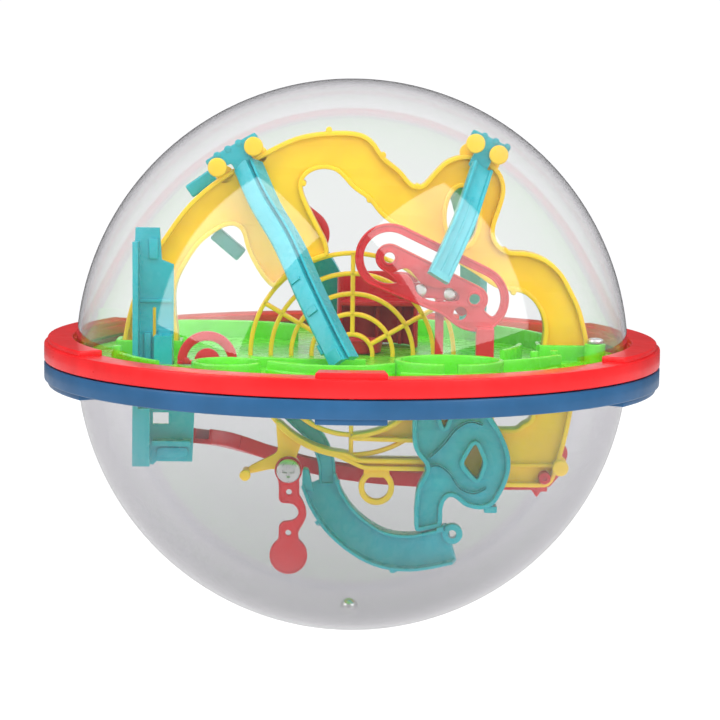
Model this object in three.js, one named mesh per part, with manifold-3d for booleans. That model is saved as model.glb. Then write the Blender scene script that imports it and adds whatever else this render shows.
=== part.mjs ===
// A hand-held ball maze: two clear domes clamped between a red and a blue ring, with a green deck
// across the middle and plastic tracks above and below it for a steel ball.
// Millimetres, +Z up, +X right, -Y towards the front. The origin is the centre of the sphere.
import * as THREE from 'three';
import { mergeVertices } from 'three/addons/utils/BufferGeometryUtils.js';
import Module from 'manifold-3d';

// ---------------------------------------------------------------- driving dimensions
const SPHERE_RADIUS = 85.2;
const DOME_WALL = 1.9;
const RING_OUTER = 95;
const RING_INNER = 86;
const RING_HEIGHT = 5.7;
const LUG_RISE = 1.6;
const SEAM_Z = -1.5;
const FIT = 0.3; // gap kept between pieces that touch

const DECK_TOP = -0.5;
const DECK_BOTTOM = -2.5;
const WALL_TOP = 5;
const WALL_WIDTH = 1.5;

const FLOOR_HALF = 1; // half the thickness of an upright plate's floor
const RIM_HALF = 4; // half the depth of an upright plate's rim
const RIM_WIDTH = 1.4;
const WIRE = 1.4; // width of the web's wires
const WEB_STEP = 6.3; // spacing of the web's circles
const WEB_CIRCLES = 5;
const WEB_RADIUS = WEB_STEP * WEB_CIRCLES;

const BALL_RADIUS = 2.8;
const BALL_ORBIT = 79.9; // from the centre of the sphere to the centre of the ball

const RED = 0xe0282f;
const BLUE = 0x3a73b0;
const GREEN = 0x4fe03a;
const YELLOW = 0xf2c22e;
const TEAL = 0x2fb4bf;
const CLEAR = 0xe6e2e8;
const STEEL = 0xc9c9c6;

// ---------------------------------------------------------------- solids
const wasm = await Module();
wasm.setup();

function toSolid(geometry) {
  const bare = geometry.clone();
  bare.deleteAttribute('normal');
  bare.deleteAttribute('uv');
  const merged = mergeVertices(bare, 1e-4);
  return new wasm.Manifold(
    new wasm.Mesh({
      numProp: 3,
      vertProperties: new Float32Array(merged.attributes.position.array),
      triVerts: new Uint32Array(merged.index.array),
    }),
  );
}

function toGeometry(solid) {
  const mesh = solid.asOriginal().simplify(0.01).getMesh();
  const geometry = new THREE.BufferGeometry();
  geometry.setAttribute('position', new THREE.BufferAttribute(mesh.vertProperties, 3));
  geometry.setIndex(new THREE.BufferAttribute(mesh.triVerts, 1));
  geometry.computeVertexNormals();
  return geometry;
}

const join = (...solids) => solids.reduce((all, solid) => all.add(solid));
const cut = (solid, ...tools) => tools.reduce((left, tool) => left.subtract(tool), solid);

// ---------------------------------------------------------------- outlines
const v2 = (x, y) => new THREE.Vector2(x, y);
const v3 = (x, y, z) => new THREE.Vector3(x, y, z);

// A smooth open line through a few points, resampled to even steps.
function smoothLine(points, step = 3.8) {
  const curve = new THREE.SplineCurve(points.map(([x, y]) => v2(x, y)));
  return curve.getSpacedPoints(Math.max(2, Math.round(curve.getLength() / step)));
}

// A stretch of a circle, with angles in degrees and turning from one to the other.
function arcLine([x, y], radius, from, to, step = 3) {
  const turn = THREE.MathUtils.degToRad(to - from);
  const byTurn = Math.ceil(Math.abs(to - from) / 24);
  const count = Math.max(2, byTurn, Math.round(Math.abs(turn * radius) / step));
  return Array.from({ length: count + 1 }, (_, i) => {
    const angle = THREE.MathUtils.degToRad(from) + (turn * i) / count;
    return v2(x + radius * Math.cos(angle), y + radius * Math.sin(angle));
  });
}

// One closed outline from stretches laid end to end, running anticlockwise.
function outlineOf(...stretches) {
  const points = [];
  for (const point of stretches.flat()) {
    const last = points.at(-1);
    if (!last || last.distanceTo(point) > 0.3) points.push(point);
  }
  if (points[0].distanceTo(points.at(-1)) < 0.3) points.pop();
  return THREE.ShapeUtils.isClockWise(points) ? points.reverse() : points;
}

function distanceToLine(point, outline) {
  const segment = new THREE.Line3();
  const at = v3(point.x, point.y, 0);
  const closest = v3(0, 0, 0);
  return Math.min(
    ...outline.map((start, i) => {
      const end = outline[(i + 1) % outline.length];
      segment.set(v3(start.x, start.y, 0), v3(end.x, end.y, 0));
      return segment.closestPointToPoint(at, true, closest).distanceTo(at);
    }),
  );
}

// The outline moved inwards by a distance, or outwards by a negative one.
function inset(outline, distance) {
  const moved = outline.map((point, i) => {
    const before = outline.at(i - 1);
    const after = outline[(i + 1) % outline.length];
    const inwards = v2(before.y - after.y, after.x - before.x).normalize();
    return point.clone().addScaledVector(inwards, distance);
  });
  return moved.filter((point) => distanceToLine(point, outline) > Math.abs(distance) * 0.93);
}

// A band of even width along an open line.
function ribbon(line, width) {
  const side = (i) => {
    const before = line[Math.max(i - 1, 0)];
    const after = line[Math.min(i + 1, line.length - 1)];
    return v2(before.y - after.y, after.x - before.x).normalize().multiplyScalar(width / 2);
  };
  const left = line.map((point, i) => point.clone().add(side(i)));
  const right = line.map((point, i) => point.clone().sub(side(i)));
  return [...right, ...left.reverse()];
}

const circle = (x, y, radius, step = 2) => arcLine([x, y], radius, 0, 360, step).slice(0, -1);

const ellipse = (x, y, halfWidth, halfHeight) =>
  circle(0, 0, 1, 0.35).map((point) => v2(x + point.x * halfWidth, y + point.y * halfHeight));

// ---------------------------------------------------------------- extrusions
function extruded(outline, depth) {
  return new THREE.ExtrudeGeometry(new THREE.Shape(outline), { depth, bevelEnabled: false, steps: 1 });
}

// A flat piece whose outline lies in X and Z, between two depths in Y.
function uprightPlate(outline, front, back) {
  return toSolid(extruded(outline, back - front).rotateX(Math.PI / 2).translate(0, back, 0));
}

// A flat piece whose outline lies in X and Y, between two heights.
function levelPlate(outline, bottom, top) {
  return toSolid(extruded(outline, top - bottom).translate(0, 0, bottom));
}

// An upright plate with a raised rim on both faces round its outline and its holes.
function rimmedPlate(outline, holes = [], rim = RIM_HALF, middle = 0) {
  let solid = uprightPlate(outline, middle - rim, middle + rim);
  const [front, back] = [middle - rim - 1, middle + rim + 1];
  for (const hole of holes) solid = cut(solid, uprightPlate(hole, front, back));
  const walls = holes.map((hole) => uprightPlate(inset(hole, -RIM_WIDTH), front - 1, back + 1));
  const floor = inset(outline, RIM_WIDTH);
  const pockets = [
    uprightPlate(floor, front, middle - FLOOR_HALF),
    uprightPlate(floor, middle + FLOOR_HALF, back),
  ];
  return cut(solid, ...pockets.map((pocket) => cut(pocket, ...walls)));
}

const pinAlongY = (x, z, radius, front, back, sides = 14) =>
  toSolid(
    new THREE.CylinderGeometry(radius, radius, back - front, sides).translate(x, (front + back) / 2, z),
  );

const postAlongZ = (x, y, radius, bottom, top, sides = 14) =>
  toSolid(
    new THREE.CylinderGeometry(radius, radius, top - bottom, sides)
      .rotateX(Math.PI / 2)
      .translate(x, y, (bottom + top) / 2),
  );

const block = (low, high) =>
  toSolid(
    new THREE.BoxGeometry(high[0] - low[0], high[1] - low[1], high[2] - low[2]).translate(
      (low[0] + high[0]) / 2,
      (low[1] + high[1]) / 2,
      (low[2] + high[2]) / 2,
    ),
  );

// A section carried along a smooth line in space. outwardAt says which way the section's Y axis faces.
function swept(section, points, outwardAt, steps = 24) {
  const curve = new THREE.CatmullRomCurve3(points.map(([x, y, z]) => v3(x, y, z)));
  const shape = new THREE.Shape(section);
  const geometry = new THREE.ExtrudeGeometry(shape, { depth: 1, steps, bevelEnabled: false });
  const position = geometry.attributes.position;
  for (let i = 0; i < position.count; i += 1) {
    const along = THREE.MathUtils.clamp(position.getZ(i), 0, 1);
    const centre = curve.getPointAt(along);
    const tangent = curve.getTangentAt(along);
    const outward = outwardAt(centre, along);
    const across = v3(0, 0, 0).crossVectors(outward, tangent).normalize();
    const up = v3(0, 0, 0).crossVectors(tangent, across).normalize();
    centre.addScaledVector(across, position.getX(i)).addScaledVector(up, position.getY(i));
    position.setXYZ(i, centre.x, centre.y, centre.z);
  }
  return toSolid(geometry);
}

// A channel section: a floor with two walls that stand up from it.
function channel(width, height, floor = 1.6, wall = 1.4) {
  const half = width / 2;
  return [
    v2(-half, 0),
    v2(half, 0),
    v2(half, height),
    v2(half - wall, height),
    v2(half - wall, floor),
    v2(wall - half, floor),
    v2(wall - half, height),
    v2(-half, height),
  ];
}

const fromCentre = (centre) => centre.clone().normalize();
const towardsFront = () => v3(0, -1, 0);

// ---------------------------------------------------------------- shell
const FLANGE_INNER_GAP = 0.6 + FIT; // half of the deck's rim, and the fit
const FLANGE_THICKNESS = 1.4;
const FLANGE_OUTER = 89.6;
const DOME_SIDES = 36;
const DOME_STEPS = 10;
const RING_SIDES = 48;

// A clear dome on its flange. way is 1 for the upper dome and -1 for the lower one.
function dome(way) {
  const inner = SPHERE_RADIUS - DOME_WALL;
  const base = SEAM_Z + way * FLANGE_INNER_GAP;
  const flangeFar = base + way * FLANGE_THICKNESS;
  const arc = (radius, z) => {
    const start = Math.asin((way * z) / radius);
    return Array.from({ length: DOME_STEPS + 1 }, (_, i) => {
      const angle = start + ((Math.PI / 2 - start) * i) / DOME_STEPS;
      const flat = i === DOME_STEPS ? 0 : radius * Math.cos(angle);
      return v2(flat, way * radius * Math.sin(angle));
    });
  };
  const profile = [
    ...arc(inner, base).reverse(),
    v2(FLANGE_OUTER, base),
    v2(FLANGE_OUTER, flangeFar),
    ...arc(SPHERE_RADIUS, flangeFar),
  ];
  if (way < 0) profile.reverse();
  return toSolid(new THREE.LatheGeometry(profile, DOME_SIDES).rotateX(Math.PI / 2));
}

const LUGS = [
  [-96.2, -83.8], // front
  [83.8, 96.2], // back
  [-32, 32], // right side
  [148, 212], // left side
];
const SCREW_ANGLES = [-90, 90, -27, 27, 153, 207];
const SCREW_CIRCLE = 91.8;
const SCREW_SHAFT = 1;
const SCREW_HEAD = 1.5;

// A clamp ring: an outer wall, a lip over the dome's flange, and raised lugs.
function clampRing(way) {
  const seam = SEAM_Z + way * (FIT / 2);
  const lip = SEAM_Z + way * (FLANGE_INNER_GAP + FLANGE_THICKNESS + FIT);
  const far = SEAM_Z + way * RING_HEIGHT;
  const wall = FLANGE_OUTER + 0.4;
  const chamfer = 1;
  const profile = [
    v2(wall, seam),
    v2(RING_OUTER - 0.3, seam),
    v2(RING_OUTER, seam + way * 0.3),
    v2(RING_OUTER, far - way * chamfer),
    v2(RING_OUTER - chamfer, far),
    v2(RING_INNER, far),
    v2(RING_INNER, lip),
    v2(wall, lip),
    v2(wall, seam),
  ];
  if (way < 0) profile.reverse();
  let ring = toSolid(new THREE.LatheGeometry(profile, RING_SIDES).rotateX(Math.PI / 2));
  for (const [from, to] of LUGS) {
    const sector = [
      ...arcLine([0, 0], RING_OUTER - 1.1, from, to, 6),
      ...arcLine([0, 0], RING_INNER + 0.3, to, from, 6),
    ];
    const low = Math.min(far - way, far + way * LUG_RISE);
    ring = join(ring, levelPlate(sector, low, low + LUG_RISE + 1));
  }
  for (const angle of SCREW_ANGLES) {
    const [at] = arcLine([0, 0], SCREW_CIRCLE, angle, angle + 1, 1);
    const bore = SCREW_SHAFT + FIT;
    if (way > 0) {
      ring = cut(ring, postAlongZ(at.x, at.y, bore, SEAM_Z - 1, SEAM_Z + 4.4, 10));
    } else {
      const lugFar = far - LUG_RISE;
      ring = cut(
        ring,
        postAlongZ(at.x, at.y, bore, lugFar - 1, SEAM_Z + 1, 10),
        postAlongZ(at.x, at.y, SCREW_HEAD + FIT, lugFar - 1, lugFar + 1.8, 12),
      );
    }
  }
  return ring;
}

// A self-tapping screw from under the blue ring up into the red one.
function ringScrew(angle) {
  const [at] = arcLine([0, 0], SCREW_CIRCLE, angle, angle + 1, 1);
  const under = SEAM_Z - RING_HEIGHT - LUG_RISE;
  return join(
    postAlongZ(at.x, at.y, SCREW_HEAD, under + 0.2, under + 1.5, 10),
    postAlongZ(at.x, at.y, SCREW_SHAFT, under + 1.4, SEAM_Z + 4, 8),
  );
}

// ---------------------------------------------------------------- deck
const LEG_LEFT = [-71.5, -54]; // the arch's feet on the deck, in X
const LEG_RIGHT = [58.5, 73];
const BRACKET = { x: [-65.8, -54], y: [-27, -19] };
const POST = { x: 74.4, y: -10, radius: 3.2 };
const SOCKET_TOP = 4.2;

function wallOn(line, top = WALL_TOP, width = WALL_WIDTH) {
  return levelPlate(ribbon(line, width), DECK_TOP - 0.5, top);
}

// A box-shaped socket round one foot of the arch.
function socket([left, right]) {
  const depth = RIM_HALF + FIT + WALL_WIDTH;
  const outer = block(
    [left - FIT - WALL_WIDTH, -depth, DECK_TOP - 0.5],
    [right + FIT + WALL_WIDTH, depth, SOCKET_TOP],
  );
  const hollow = block(
    [left - FIT, WALL_WIDTH - depth, DECK_TOP],
    [right + FIT, depth - WALL_WIDTH, SOCKET_TOP + 1],
  );
  return cut(outer, hollow);
}

function equatorDeck() {
  const clamped = levelPlate(circle(0, 0, FLANGE_OUTER, 7), SEAM_Z - 0.6, SEAM_Z + 0.6);
  let deck = join(clamped, levelPlate(circle(0, 0, 82.2, 7), DECK_BOTTOM, DECK_TOP));
  deck = join(
    deck,
    socket(LEG_LEFT),
    socket(LEG_RIGHT),
    wallOn(smoothLine([[-63, 48], [-45, 50], [-28, 47], [-18, 40]], 6)),
    wallOn(arcLine([0, 0], 64, 18, 78, 8)),
    wallOn(arcLine([0, 0], 76, -160, -138, 7), 3.6),
    wallOn(arcLine([-36, -57], 9.5, 20, 340, 4), 4.4),
    wallOn(outlineRing(28, -57, 15, 12), 5.6),
    wallOn(smoothLine([[-24, -58], [-12, -66], [2, -67], [12, -60]], 5), 4.8),
    wallOn(arcLine([0, 0], 52, -30, -8, 6)),
    wallOn(smoothLine([[44, -46], [52, -40], [62, -30]], 5), 4.2),
    postAlongZ(55, -23, 1.3, DECK_TOP - 0.5, 4.4, 8),
    postAlongZ(61, -21, 1.3, DECK_TOP - 0.5, 4.4, 8),
    postAlongZ(-70, -30, 1.3, DECK_TOP - 0.5, 5.4, 8),
    postAlongZ(POST.x, POST.y, POST.radius, DECK_TOP - 0.5, 5.4, 16),
  );
  const through = (x, y, radius) => postAlongZ(x, y, radius, DECK_BOTTOM - 1, DECK_TOP + 1, 16);
  return cut(
    deck,
    postAlongZ(POST.x, POST.y, 1.3, DECK_TOP, 7, 10),
    through(28, -57, 4.5),
    through(-36, -57, 4.2),
    through(-42, 62, 4.5),
    through(42, 60, 4.5),
    through(-74, 14, 4.5),
    block(
      [BRACKET.x[0] - FIT, BRACKET.y[0] - FIT, DECK_BOTTOM - 1],
      [BRACKET.x[1] + FIT, BRACKET.y[1] + FIT, DECK_TOP + 1],
    ),
  );
}

// The centre line of an oval wall, closed but for a short gate.
function outlineRing(x, y, halfWidth, halfDepth) {
  return Array.from({ length: 23 }, (_, i) => {
    const angle = THREE.MathUtils.degToRad(-82 + i * 15.7);
    return v2(x + halfWidth * Math.cos(angle), y + halfDepth * Math.sin(angle));
  });
}

// ---------------------------------------------------------------- yellow plates and web
const SPOKES = [30, 90, 150];

// Half of the round web. way is 1 above the deck and -1 below it.
function webHalf(way) {
  const ends = way > 0 ? [0.2, 179.8] : [180.2, 359.8];
  const edge = way > 0 ? DECK_TOP + FIT : DECK_BOTTOM - FIT;
  const wires = [];
  for (let ring = 1; ring <= WEB_CIRCLES; ring += 1) {
    const line = arcLine([0, 0], ring * WEB_STEP, ends[0], ends[1], 5);
    wires.push(uprightPlate(ribbon(line, WIRE), -1.2, 1.2));
  }
  for (const angle of SPOKES) {
    const direction = THREE.MathUtils.degToRad(way * angle);
    const towards = v2(Math.cos(direction), Math.sin(direction));
    const line = [WEB_STEP * 0.9, WEB_RADIUS].map((radius) => towards.clone().multiplyScalar(radius));
    wires.push(uprightPlate(ribbon(line, WIRE), -1.2, 1.2));
  }
  const low = way > 0 ? edge - 9 : edge;
  return cut(join(...wires), block([-WEB_RADIUS - 9, -9, low], [WEB_RADIUS + 9, 9, low + 9]));
}

const LEFT_PINS = [[-41.7, 57.8], [-30.7, 64.3]];
const RIGHT_PINS = [[36.8, 66], [43.9, 62.6]];
const ARCH_NUBS = [[-7.9, 69.4], [8.8, 61.9], [19.5, 52.4], [-15.6, 53], [4.8, 48.2], [46.8, 33]];
const PIN_HEAD = 3;
const PIN_SHAFT = 1.9;
const PIN_FRONT = -9.6;
const HEAD_BACK = -7.4;

// A moulded pin with a wide head, standing forward from a plate.
const headedPin = (x, z, head = PIN_HEAD, shaft = PIN_SHAFT) =>
  join(
    pinAlongY(x, z, head, PIN_FRONT, HEAD_BACK),
    pinAlongY(x, z, shaft, HEAD_BACK - 0.2, 1, 14),
  );

function upperArch() {
  const base = DECK_TOP + FIT;
  const outline = outlineOf(
    [v2(LEG_RIGHT[1], base)],
    smoothLine([[73, 6], [70.6, 15], [68, 20.5], [64.5, 26.5], [59.5, 30.8], [53.5, 32.8], [47.8, 33]]),
    smoothLine([[44.4, 35.3], [43.3, 39.5], [45.3, 46], [46.6, 52], [44.6, 57.8], [39, 61.5]]),
    smoothLine([[36, 62.2], [33, 62.4], [27.5, 60.4]]),
    smoothLine([[23.3, 55.7], [20.6, 52.6], [17.8, 53.2], [14.7, 57.1], [10.6, 60.2]]),
    smoothLine([[8.4, 62.2], [6, 66.2], [1.3, 68.8]]),
    smoothLine([[-2, 69.2], [-7.9, 69], [-18, 67.2], [-28.1, 62.3], [-41.5, 54.4]]),
    smoothLine([[-50.7, 46.5], [-57.8, 37], [-64, 27], [-68.5, 15.4], [-71, 4]]),
    [v2(LEG_LEFT[0], base), v2(LEG_LEFT[1], base)],
    smoothLine([[-53.8, 6], [-54.6, 12], [-54.6, 20], [-52.2, 26.2], [-47.6, 33.4], [-43.6, 37]]),
    [v2(-40.2, 39.2), v2(-36.8, 40.2)],
    smoothLine([[-34.2, 38.4], [-32.8, 32.4], [-28.7, 24.9], [-25, 20.6]]),
    arcLine([0, 0], WEB_RADIUS, 140, 103),
    smoothLine([[-8.2, 35.4], [-15, 48.6], [-15.8, 54], [-12.7, 56.8], [-9.6, 57.6], [-5.6, 57.1]]),
    smoothLine([[-3.1, 54.6], [-0.3, 51.4], [4.3, 48.4], [6.3, 45.8], [10, 42], [22, 35]]),
    smoothLine([[26, 32.7], [37.3, 26], [43.9, 21.6], [49.5, 20.5]]),
    smoothLine([[52.6, 20.2], [56, 17.2], [58.3, 13.4], [59.3, 8.8], [58.8, 4]]),
    [v2(LEG_RIGHT[0], base)],
  );
  const plate = rimmedPlate(outline, [ellipse(33.4, 43.4, 4.8, 9)]);
  const stops = ARCH_NUBS.map(([x, z]) => pinAlongY(x, z, 0.9, -RIM_HALF, RIM_HALF, 8));
  const pins = [...LEFT_PINS, ...RIGHT_PINS].map(([x, z]) =>
    join(headedPin(x, z), pinAlongY(x * 0.955, z * 0.955, 2.8, -FLOOR_HALF, FLOOR_HALF)),
  );
  return join(plate, ...stops, ...pins, webHalf(1));
}

const ARM_PIVOT = [-19.2, -35.4];
const LOWER_PINS = [[64.8, -33.6, 2.6], [-32.6, -37, 1.8]];
const RED_PIN = [60.3, -37.5];
const HOOP = [8.1, -41.6];

function lowerPlate() {
  const base = DECK_BOTTOM - FIT;
  const ringOuter = WEB_RADIUS + WIRE / 2;
  const outline = outlineOf(
    arcLine([0, 0], ringOuter, 222, 262),
    [v2(4, -35.8), v2(24, -35.9)],
    smoothLine([[28, -37.4], [34, -40], [40, -40.6]]),
    [v2(61.4, -40.6)],
    smoothLine([[63.4, -38.4], [66.8, -26], [69.2, -13], [70.6, base]], 6),
    [v2(56.5, base), v2(55.8, -19.6), v2(53.6, -20.6), v2(52.6, -20.6), v2(52.2, -22.4), v2(44.4, -22.4)],
    [v2(43.4, base), v2(24.6, base)],
    arcLine([0, 0], 25.2 - WIRE / 2, -7, -90),
    [v2(-0.5, -26.6), v2(20, -27), v2(25.4, -27.2), v2(27.6, -29.6), v2(25.4, -32.2), v2(2, -32.2)],
    arcLine([0, 0], WEB_RADIUS - 1.2, 268, 222),
  );
  const plate = rimmedPlate(outline);
  const rib = block([43, -2.4, -34.6], [64, 2.4, -33.4]);
  const [pivotX, pivotZ] = ARM_PIVOT;
  const boss = pinAlongY(pivotX, pivotZ, 3.4, -6, 2);
  const cornerOutline = [
    v2(-23.5, -21),
    v2(-22.6, -31),
    v2(-32.4, -35.8),
    v2(-32.2, -38),
    v2(-24, -36),
    v2(-19, -38),
    v2(-15, -27),
  ];
  const corner = uprightPlate(cornerOutline, -FLOOR_HALF, FLOOR_HALF);
  const pins = LOWER_PINS.map(([x, z, head]) => headedPin(x, z, head, head * 0.65));
  const seats = LOWER_PINS.map(([x, z, head]) => pinAlongY(x, z, head, -1, 1));
  const [hoopX, hoopZ] = HOOP;
  const hoop = cut(
    join(
      pinAlongY(hoopX, hoopZ, 5.6, -1.6, 1.6, 28),
      block([hoopX - 4.2, -1.6, hoopZ + 3], [hoopX + 4.2, 1.6, -35]),
    ),
    pinAlongY(hoopX, hoopZ, 3.8, -3, 3, 24),
  );
  return cut(
    join(plate, rib, boss, corner, hoop, ...pins, ...seats, webHalf(-1)),
    pinAlongY(pivotX, pivotZ, 1.6, -9, 9, 12),
    pinAlongY(RED_PIN[0], RED_PIN[1], 2.2, -9, 9, 14),
  );
}

// ---------------------------------------------------------------- teal chutes
// The head of a chute: a bar that hooks over two pins on the arch.
function hookBar(pins, side) {
  const [start, end] = pins.map(([x, z]) => v2(x, z));
  const along = end.clone().sub(start).normalize();
  const out = v2(-along.y, along.x);
  const reach = (from, a, o) => from.clone().addScaledVector(along, a).addScaledVector(out, o);
  const bar = uprightPlate(
    [reach(start, -2.4, -1), reach(end, 2.4, -1), reach(end, 2.4, 3.6), reach(start, -2.4, 3.6)],
    -7,
    -4.4,
  );
  const neckCorners = [[side[0], -7], [side[1], -7], [side[1], 0], [side[0], 0]];
  const neck = uprightPlate(neckCorners.map(([a, o]) => reach(start, a, o)), -7, -4.4);
  const notches = pins.map(([x, z]) => pinAlongY(x, z, PIN_SHAFT + FIT, -9, 0, 14));
  return cut(join(bar, neck), ...notches);
}

const DROPPED_FLANGE = [
  v2(-3.4, -1),
  v2(2.2, -1),
  v2(2.2, -5.6),
  v2(3.6, -5.6),
  v2(3.6, 1),
  v2(-3.4, 1),
];

function frontLeftChute() {
  const path = [
    [-34.2, -6.6, 58.6],
    [-28.9, -16, 48.5],
    [-21.2, -27, 37],
    [-14.4, -38, 23.6],
    [-8, -46, 11.6],
    [-3.4, -50, 3.4],
  ];
  const turnedLeft = (centre) => fromCentre(centre).add(v3(-0.45, 0, 0));
  const body = swept(DROPPED_FLANGE, path, turnedLeft, 16);
  return join(hookBar(LEFT_PINS, [4.2, 10.6]), body);
}

function frontRightChute() {
  const path = [
    [38.4, -6.6, 58.4],
    [35.6, -13, 50.5],
    [32.6, -20.4, 42.7],
    [28.8, -27.2, 34.8],
    [24.8, -31.5, 26.6],
  ];
  const body = swept(channel(7, 2.4, 1.6, 1.3), path, fromCentre, 16);
  return join(hookBar(RIGHT_PINS, [1, 6.8]), body);
}

function rearLeftChute() {
  const path = [[-34, 8, 56], [-28, 20, 47], [-18.6, 30.5, 35], [-8.6, 38, 20.5], [-1, 42, 2]];
  return swept(channel(9.4, 4, 1.5), path, fromCentre, 16);
}

function rearRightChute() {
  const path = [[30, 8, 54], [34, 20, 45], [37, 31, 32], [38, 40, 18], [38, 44, 3]];
  return swept(channel(8.4, 4, 1.5), path, fromCentre, 16);
}

function leftBracket() {
  const [left, right] = BRACKET.x;
  const [front, back] = BRACKET.y;
  const faceFront = back - 1.6;
  const upper = [
    v2(left, -15),
    v2(right, -15),
    v2(right, 29),
    v2(-57.6, 30.4),
    v2(-58.2, 40),
    v2(-65.4, 40),
    v2(-66.4, 20),
  ];
  const face = cut(
    uprightPlate(upper, faceFront, back),
    uprightPlate([v2(-60.3, 7), v2(-59.3, 7), v2(-59.3, 16), v2(-60.3, 16)], faceFront - 1, back + 1),
  );
  const rail = block([left, front, -31.6], [left + 1.6, back, 36]);
  const lip = block([left, front, -31.6], [left + 5.2, front + 1.6, -14]);
  const rib = block([right - 5.4, front, -3], [right, back, 8]);
  const lowerOutline = [
    v2(left, -31.6),
    v2(-60, -32),
    v2(-59, -31),
    v2(-48.2, -31),
    v2(-47.6, -15),
    v2(left, -15),
  ];
  const lower = cut(
    uprightPlate(lowerOutline, faceFront, back),
    block([-60.2, faceFront - 1, -19.6], [-55.4, back + 1, -15.4]),
  );
  const shelf = block([-60, front + 1, -25.5], [-48.4, back, -24]);
  return join(face, rail, lip, rib, lower, shelf, block([left, faceFront, -16], [right, back, -14]));
}

// A short clip behind the arch, turned about Y by some degrees.
function archClip(length, turn, x, z) {
  const clip = new THREE.BoxGeometry(length, 5, 4.4).rotateY(THREE.MathUtils.degToRad(turn));
  return toSolid(clip.translate(x, 6.9, z));
}

// ---------------------------------------------------------------- red loop rail
const LOOP_A = v2(10.9, 32);
const LOOP_B = v2(36.7, 19.8);
const LOOP_OUTER = 10.4;
const LOOP_BAND = 2.6;
const LOBE = 4.1;
const LOOP_FRONT = -23.4;
const LOOP_BACK = -20.8;
const LOOP_SCREWS = [[20.4, 22], [29.4, 21]];

function loopRail() {
  const tilt = THREE.MathUtils.radToDeg(Math.atan2(LOOP_B.y - LOOP_A.y, LOOP_B.x - LOOP_A.x));
  const up = tilt + 90;
  const a = [LOOP_A.x, LOOP_A.y];
  const b = [LOOP_B.x, LOOP_B.y];
  const outline = outlineOf(
    arcLine(a, LOOP_OUTER, up, up + 165, 2),
    smoothLine([[16.9, 19], [22.5, 16.8], [26.3, 15.4]], 3),
    arcLine(b, LOOP_OUTER - 0.6, up + 165, up + 210, 2),
    arcLine(b, LOOP_OUTER, up + 215, up + 360, 2),
  );
  const inner = LOOP_OUTER - LOOP_BAND;
  const slot = outlineOf(
    arcLine(a, inner, up, up + 205, 2),
    [v2(13.6, 24.4)],
    arcLine(a, LOBE + 0.2, up + 190, up, 1.5),
    arcLine(b, LOBE, up, up - 115, 1.5),
    arcLine(b, inner, up - 110, up, 2),
  );
  const wave = outlineOf(
    smoothLine([[11.8, 27.4], [15.9, 29], [18.3, 27.1], [20.6, 24.4], [25.3, 22.9]], 1.8),
    [v2(29.5, 23.2), v2(32.2, 21.2)],
    smoothLine([[32, 19.3], [26.7, 18.9], [23.2, 19.2], [19.4, 21.3], [18.4, 24.4], [16.4, 27]], 1.8),
  );
  const tools = [slot, wave, circle(a[0], a[1], 1.65), circle(b[0], b[1], 1.6), circle(32.4, 15.4, 2)];
  const plate = cut(
    uprightPlate(outline, LOOP_FRONT, LOOP_BACK),
    ...tools.map((tool) => uprightPlate(tool, LOOP_FRONT - 1, LOOP_BACK + 1)),
  );
  const leg = block([37.2, -26.4, DECK_TOP + FIT], [42.6, LOOP_BACK, 11.4]);
  const foot = block([34, -26.4, DECK_TOP + FIT], [42.6, -19, 1.6]);
  return join(plate, leg, foot);
}

// The strap behind the loop rail that its two screws hold.
function loopStrap() {
  const line = [v2(13, 21.4), v2(20.4, 22), v2(29.4, 21), v2(34.5, 15)];
  const strap = uprightPlate(ribbon(line, 4.6), -19.6, -17.6);
  const stay = block([25, -19.6, DECK_TOP + FIT], [27.6, -17.6, 20]);
  const bores = LOOP_SCREWS.map(([x, z]) => pinAlongY(x, z, 1.2, -21, -16, 10));
  return cut(join(strap, stay), ...bores);
}

const loopScrew = ([x, z]) =>
  join(pinAlongY(x, z, 1.9, -20.5, -19.9, 14), pinAlongY(x, z, 0.9, -20, -16.8, 10));

// ---------------------------------------------------------------- other red pieces
function smallGate() {
  const x = -43.3;
  const base = DECK_TOP + FIT;
  const centre = [x, base + 1];
  const arch = [...arcLine(centre, 9, 0, 180, 2), ...arcLine(centre, 6.2, 180, 0, 2)];
  const half = arcLine(centre, 3.9, 0, 180, 1.6);
  const foot = block([x - 9, -29.4, base], [x + 9, -27.4, base + 1.2]);
  return join(uprightPlate(arch, -29.4, -27.4), uprightPlate(half, -29.4, -27.4), foot);
}

// A half-round tower behind the web.
function rearTower() {
  const ring = [...arcLine([8, 24], 13, -15, 195, 4), ...arcLine([8, 24], 11.4, 195, -15, 4)];
  const floor = [...arcLine([8, 24], 12.6, -15, 195, 4)];
  return join(levelPlate(ring, DECK_TOP + FIT, 23), levelPlate(floor, 13, 14.6));
}

// A link behind the arch's stem, on two pegs.
function rearLink() {
  const [low, high] = [v2(-15.4, 36.5), v2(-27, 45.5)];
  const tilt = THREE.MathUtils.radToDeg(Math.atan2(high.y - low.y, high.x - low.x));
  const around = (radius) =>
    outlineOf(
      arcLine([low.x, low.y], radius, tilt + 90, tilt + 270, 2.4),
      arcLine([high.x, high.y], radius, tilt - 90, tilt + 90, 2.4),
    );
  const band = cut(uprightPlate(around(8), 8, 10.4), uprightPlate(around(5.4), 7, 12));
  const bridge = uprightPlate(ribbon([v2(-18.2, 31.2), v2(-12.4, 42)], 2.6), 8, 10.4);
  const pegs = [[-17, 30.4], [-24, 51.5]].map(([x, z]) => pinAlongY(x, z, 1.6, 1 + FIT, 9, 10));
  return join(band, bridge, ...pegs);
}

function centreCup() {
  const profile = [v2(2.2, 0), v2(6, 0), v2(6.6, 4), v2(5.4, 4), v2(4.4, 1.6), v2(2.2, 1.2), v2(2.2, 0)];
  const cup = new THREE.LatheGeometry(profile, 20).rotateX(Math.PI / 2).translate(3, 9, DECK_TOP + FIT);
  return toSolid(cup);
}

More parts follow.
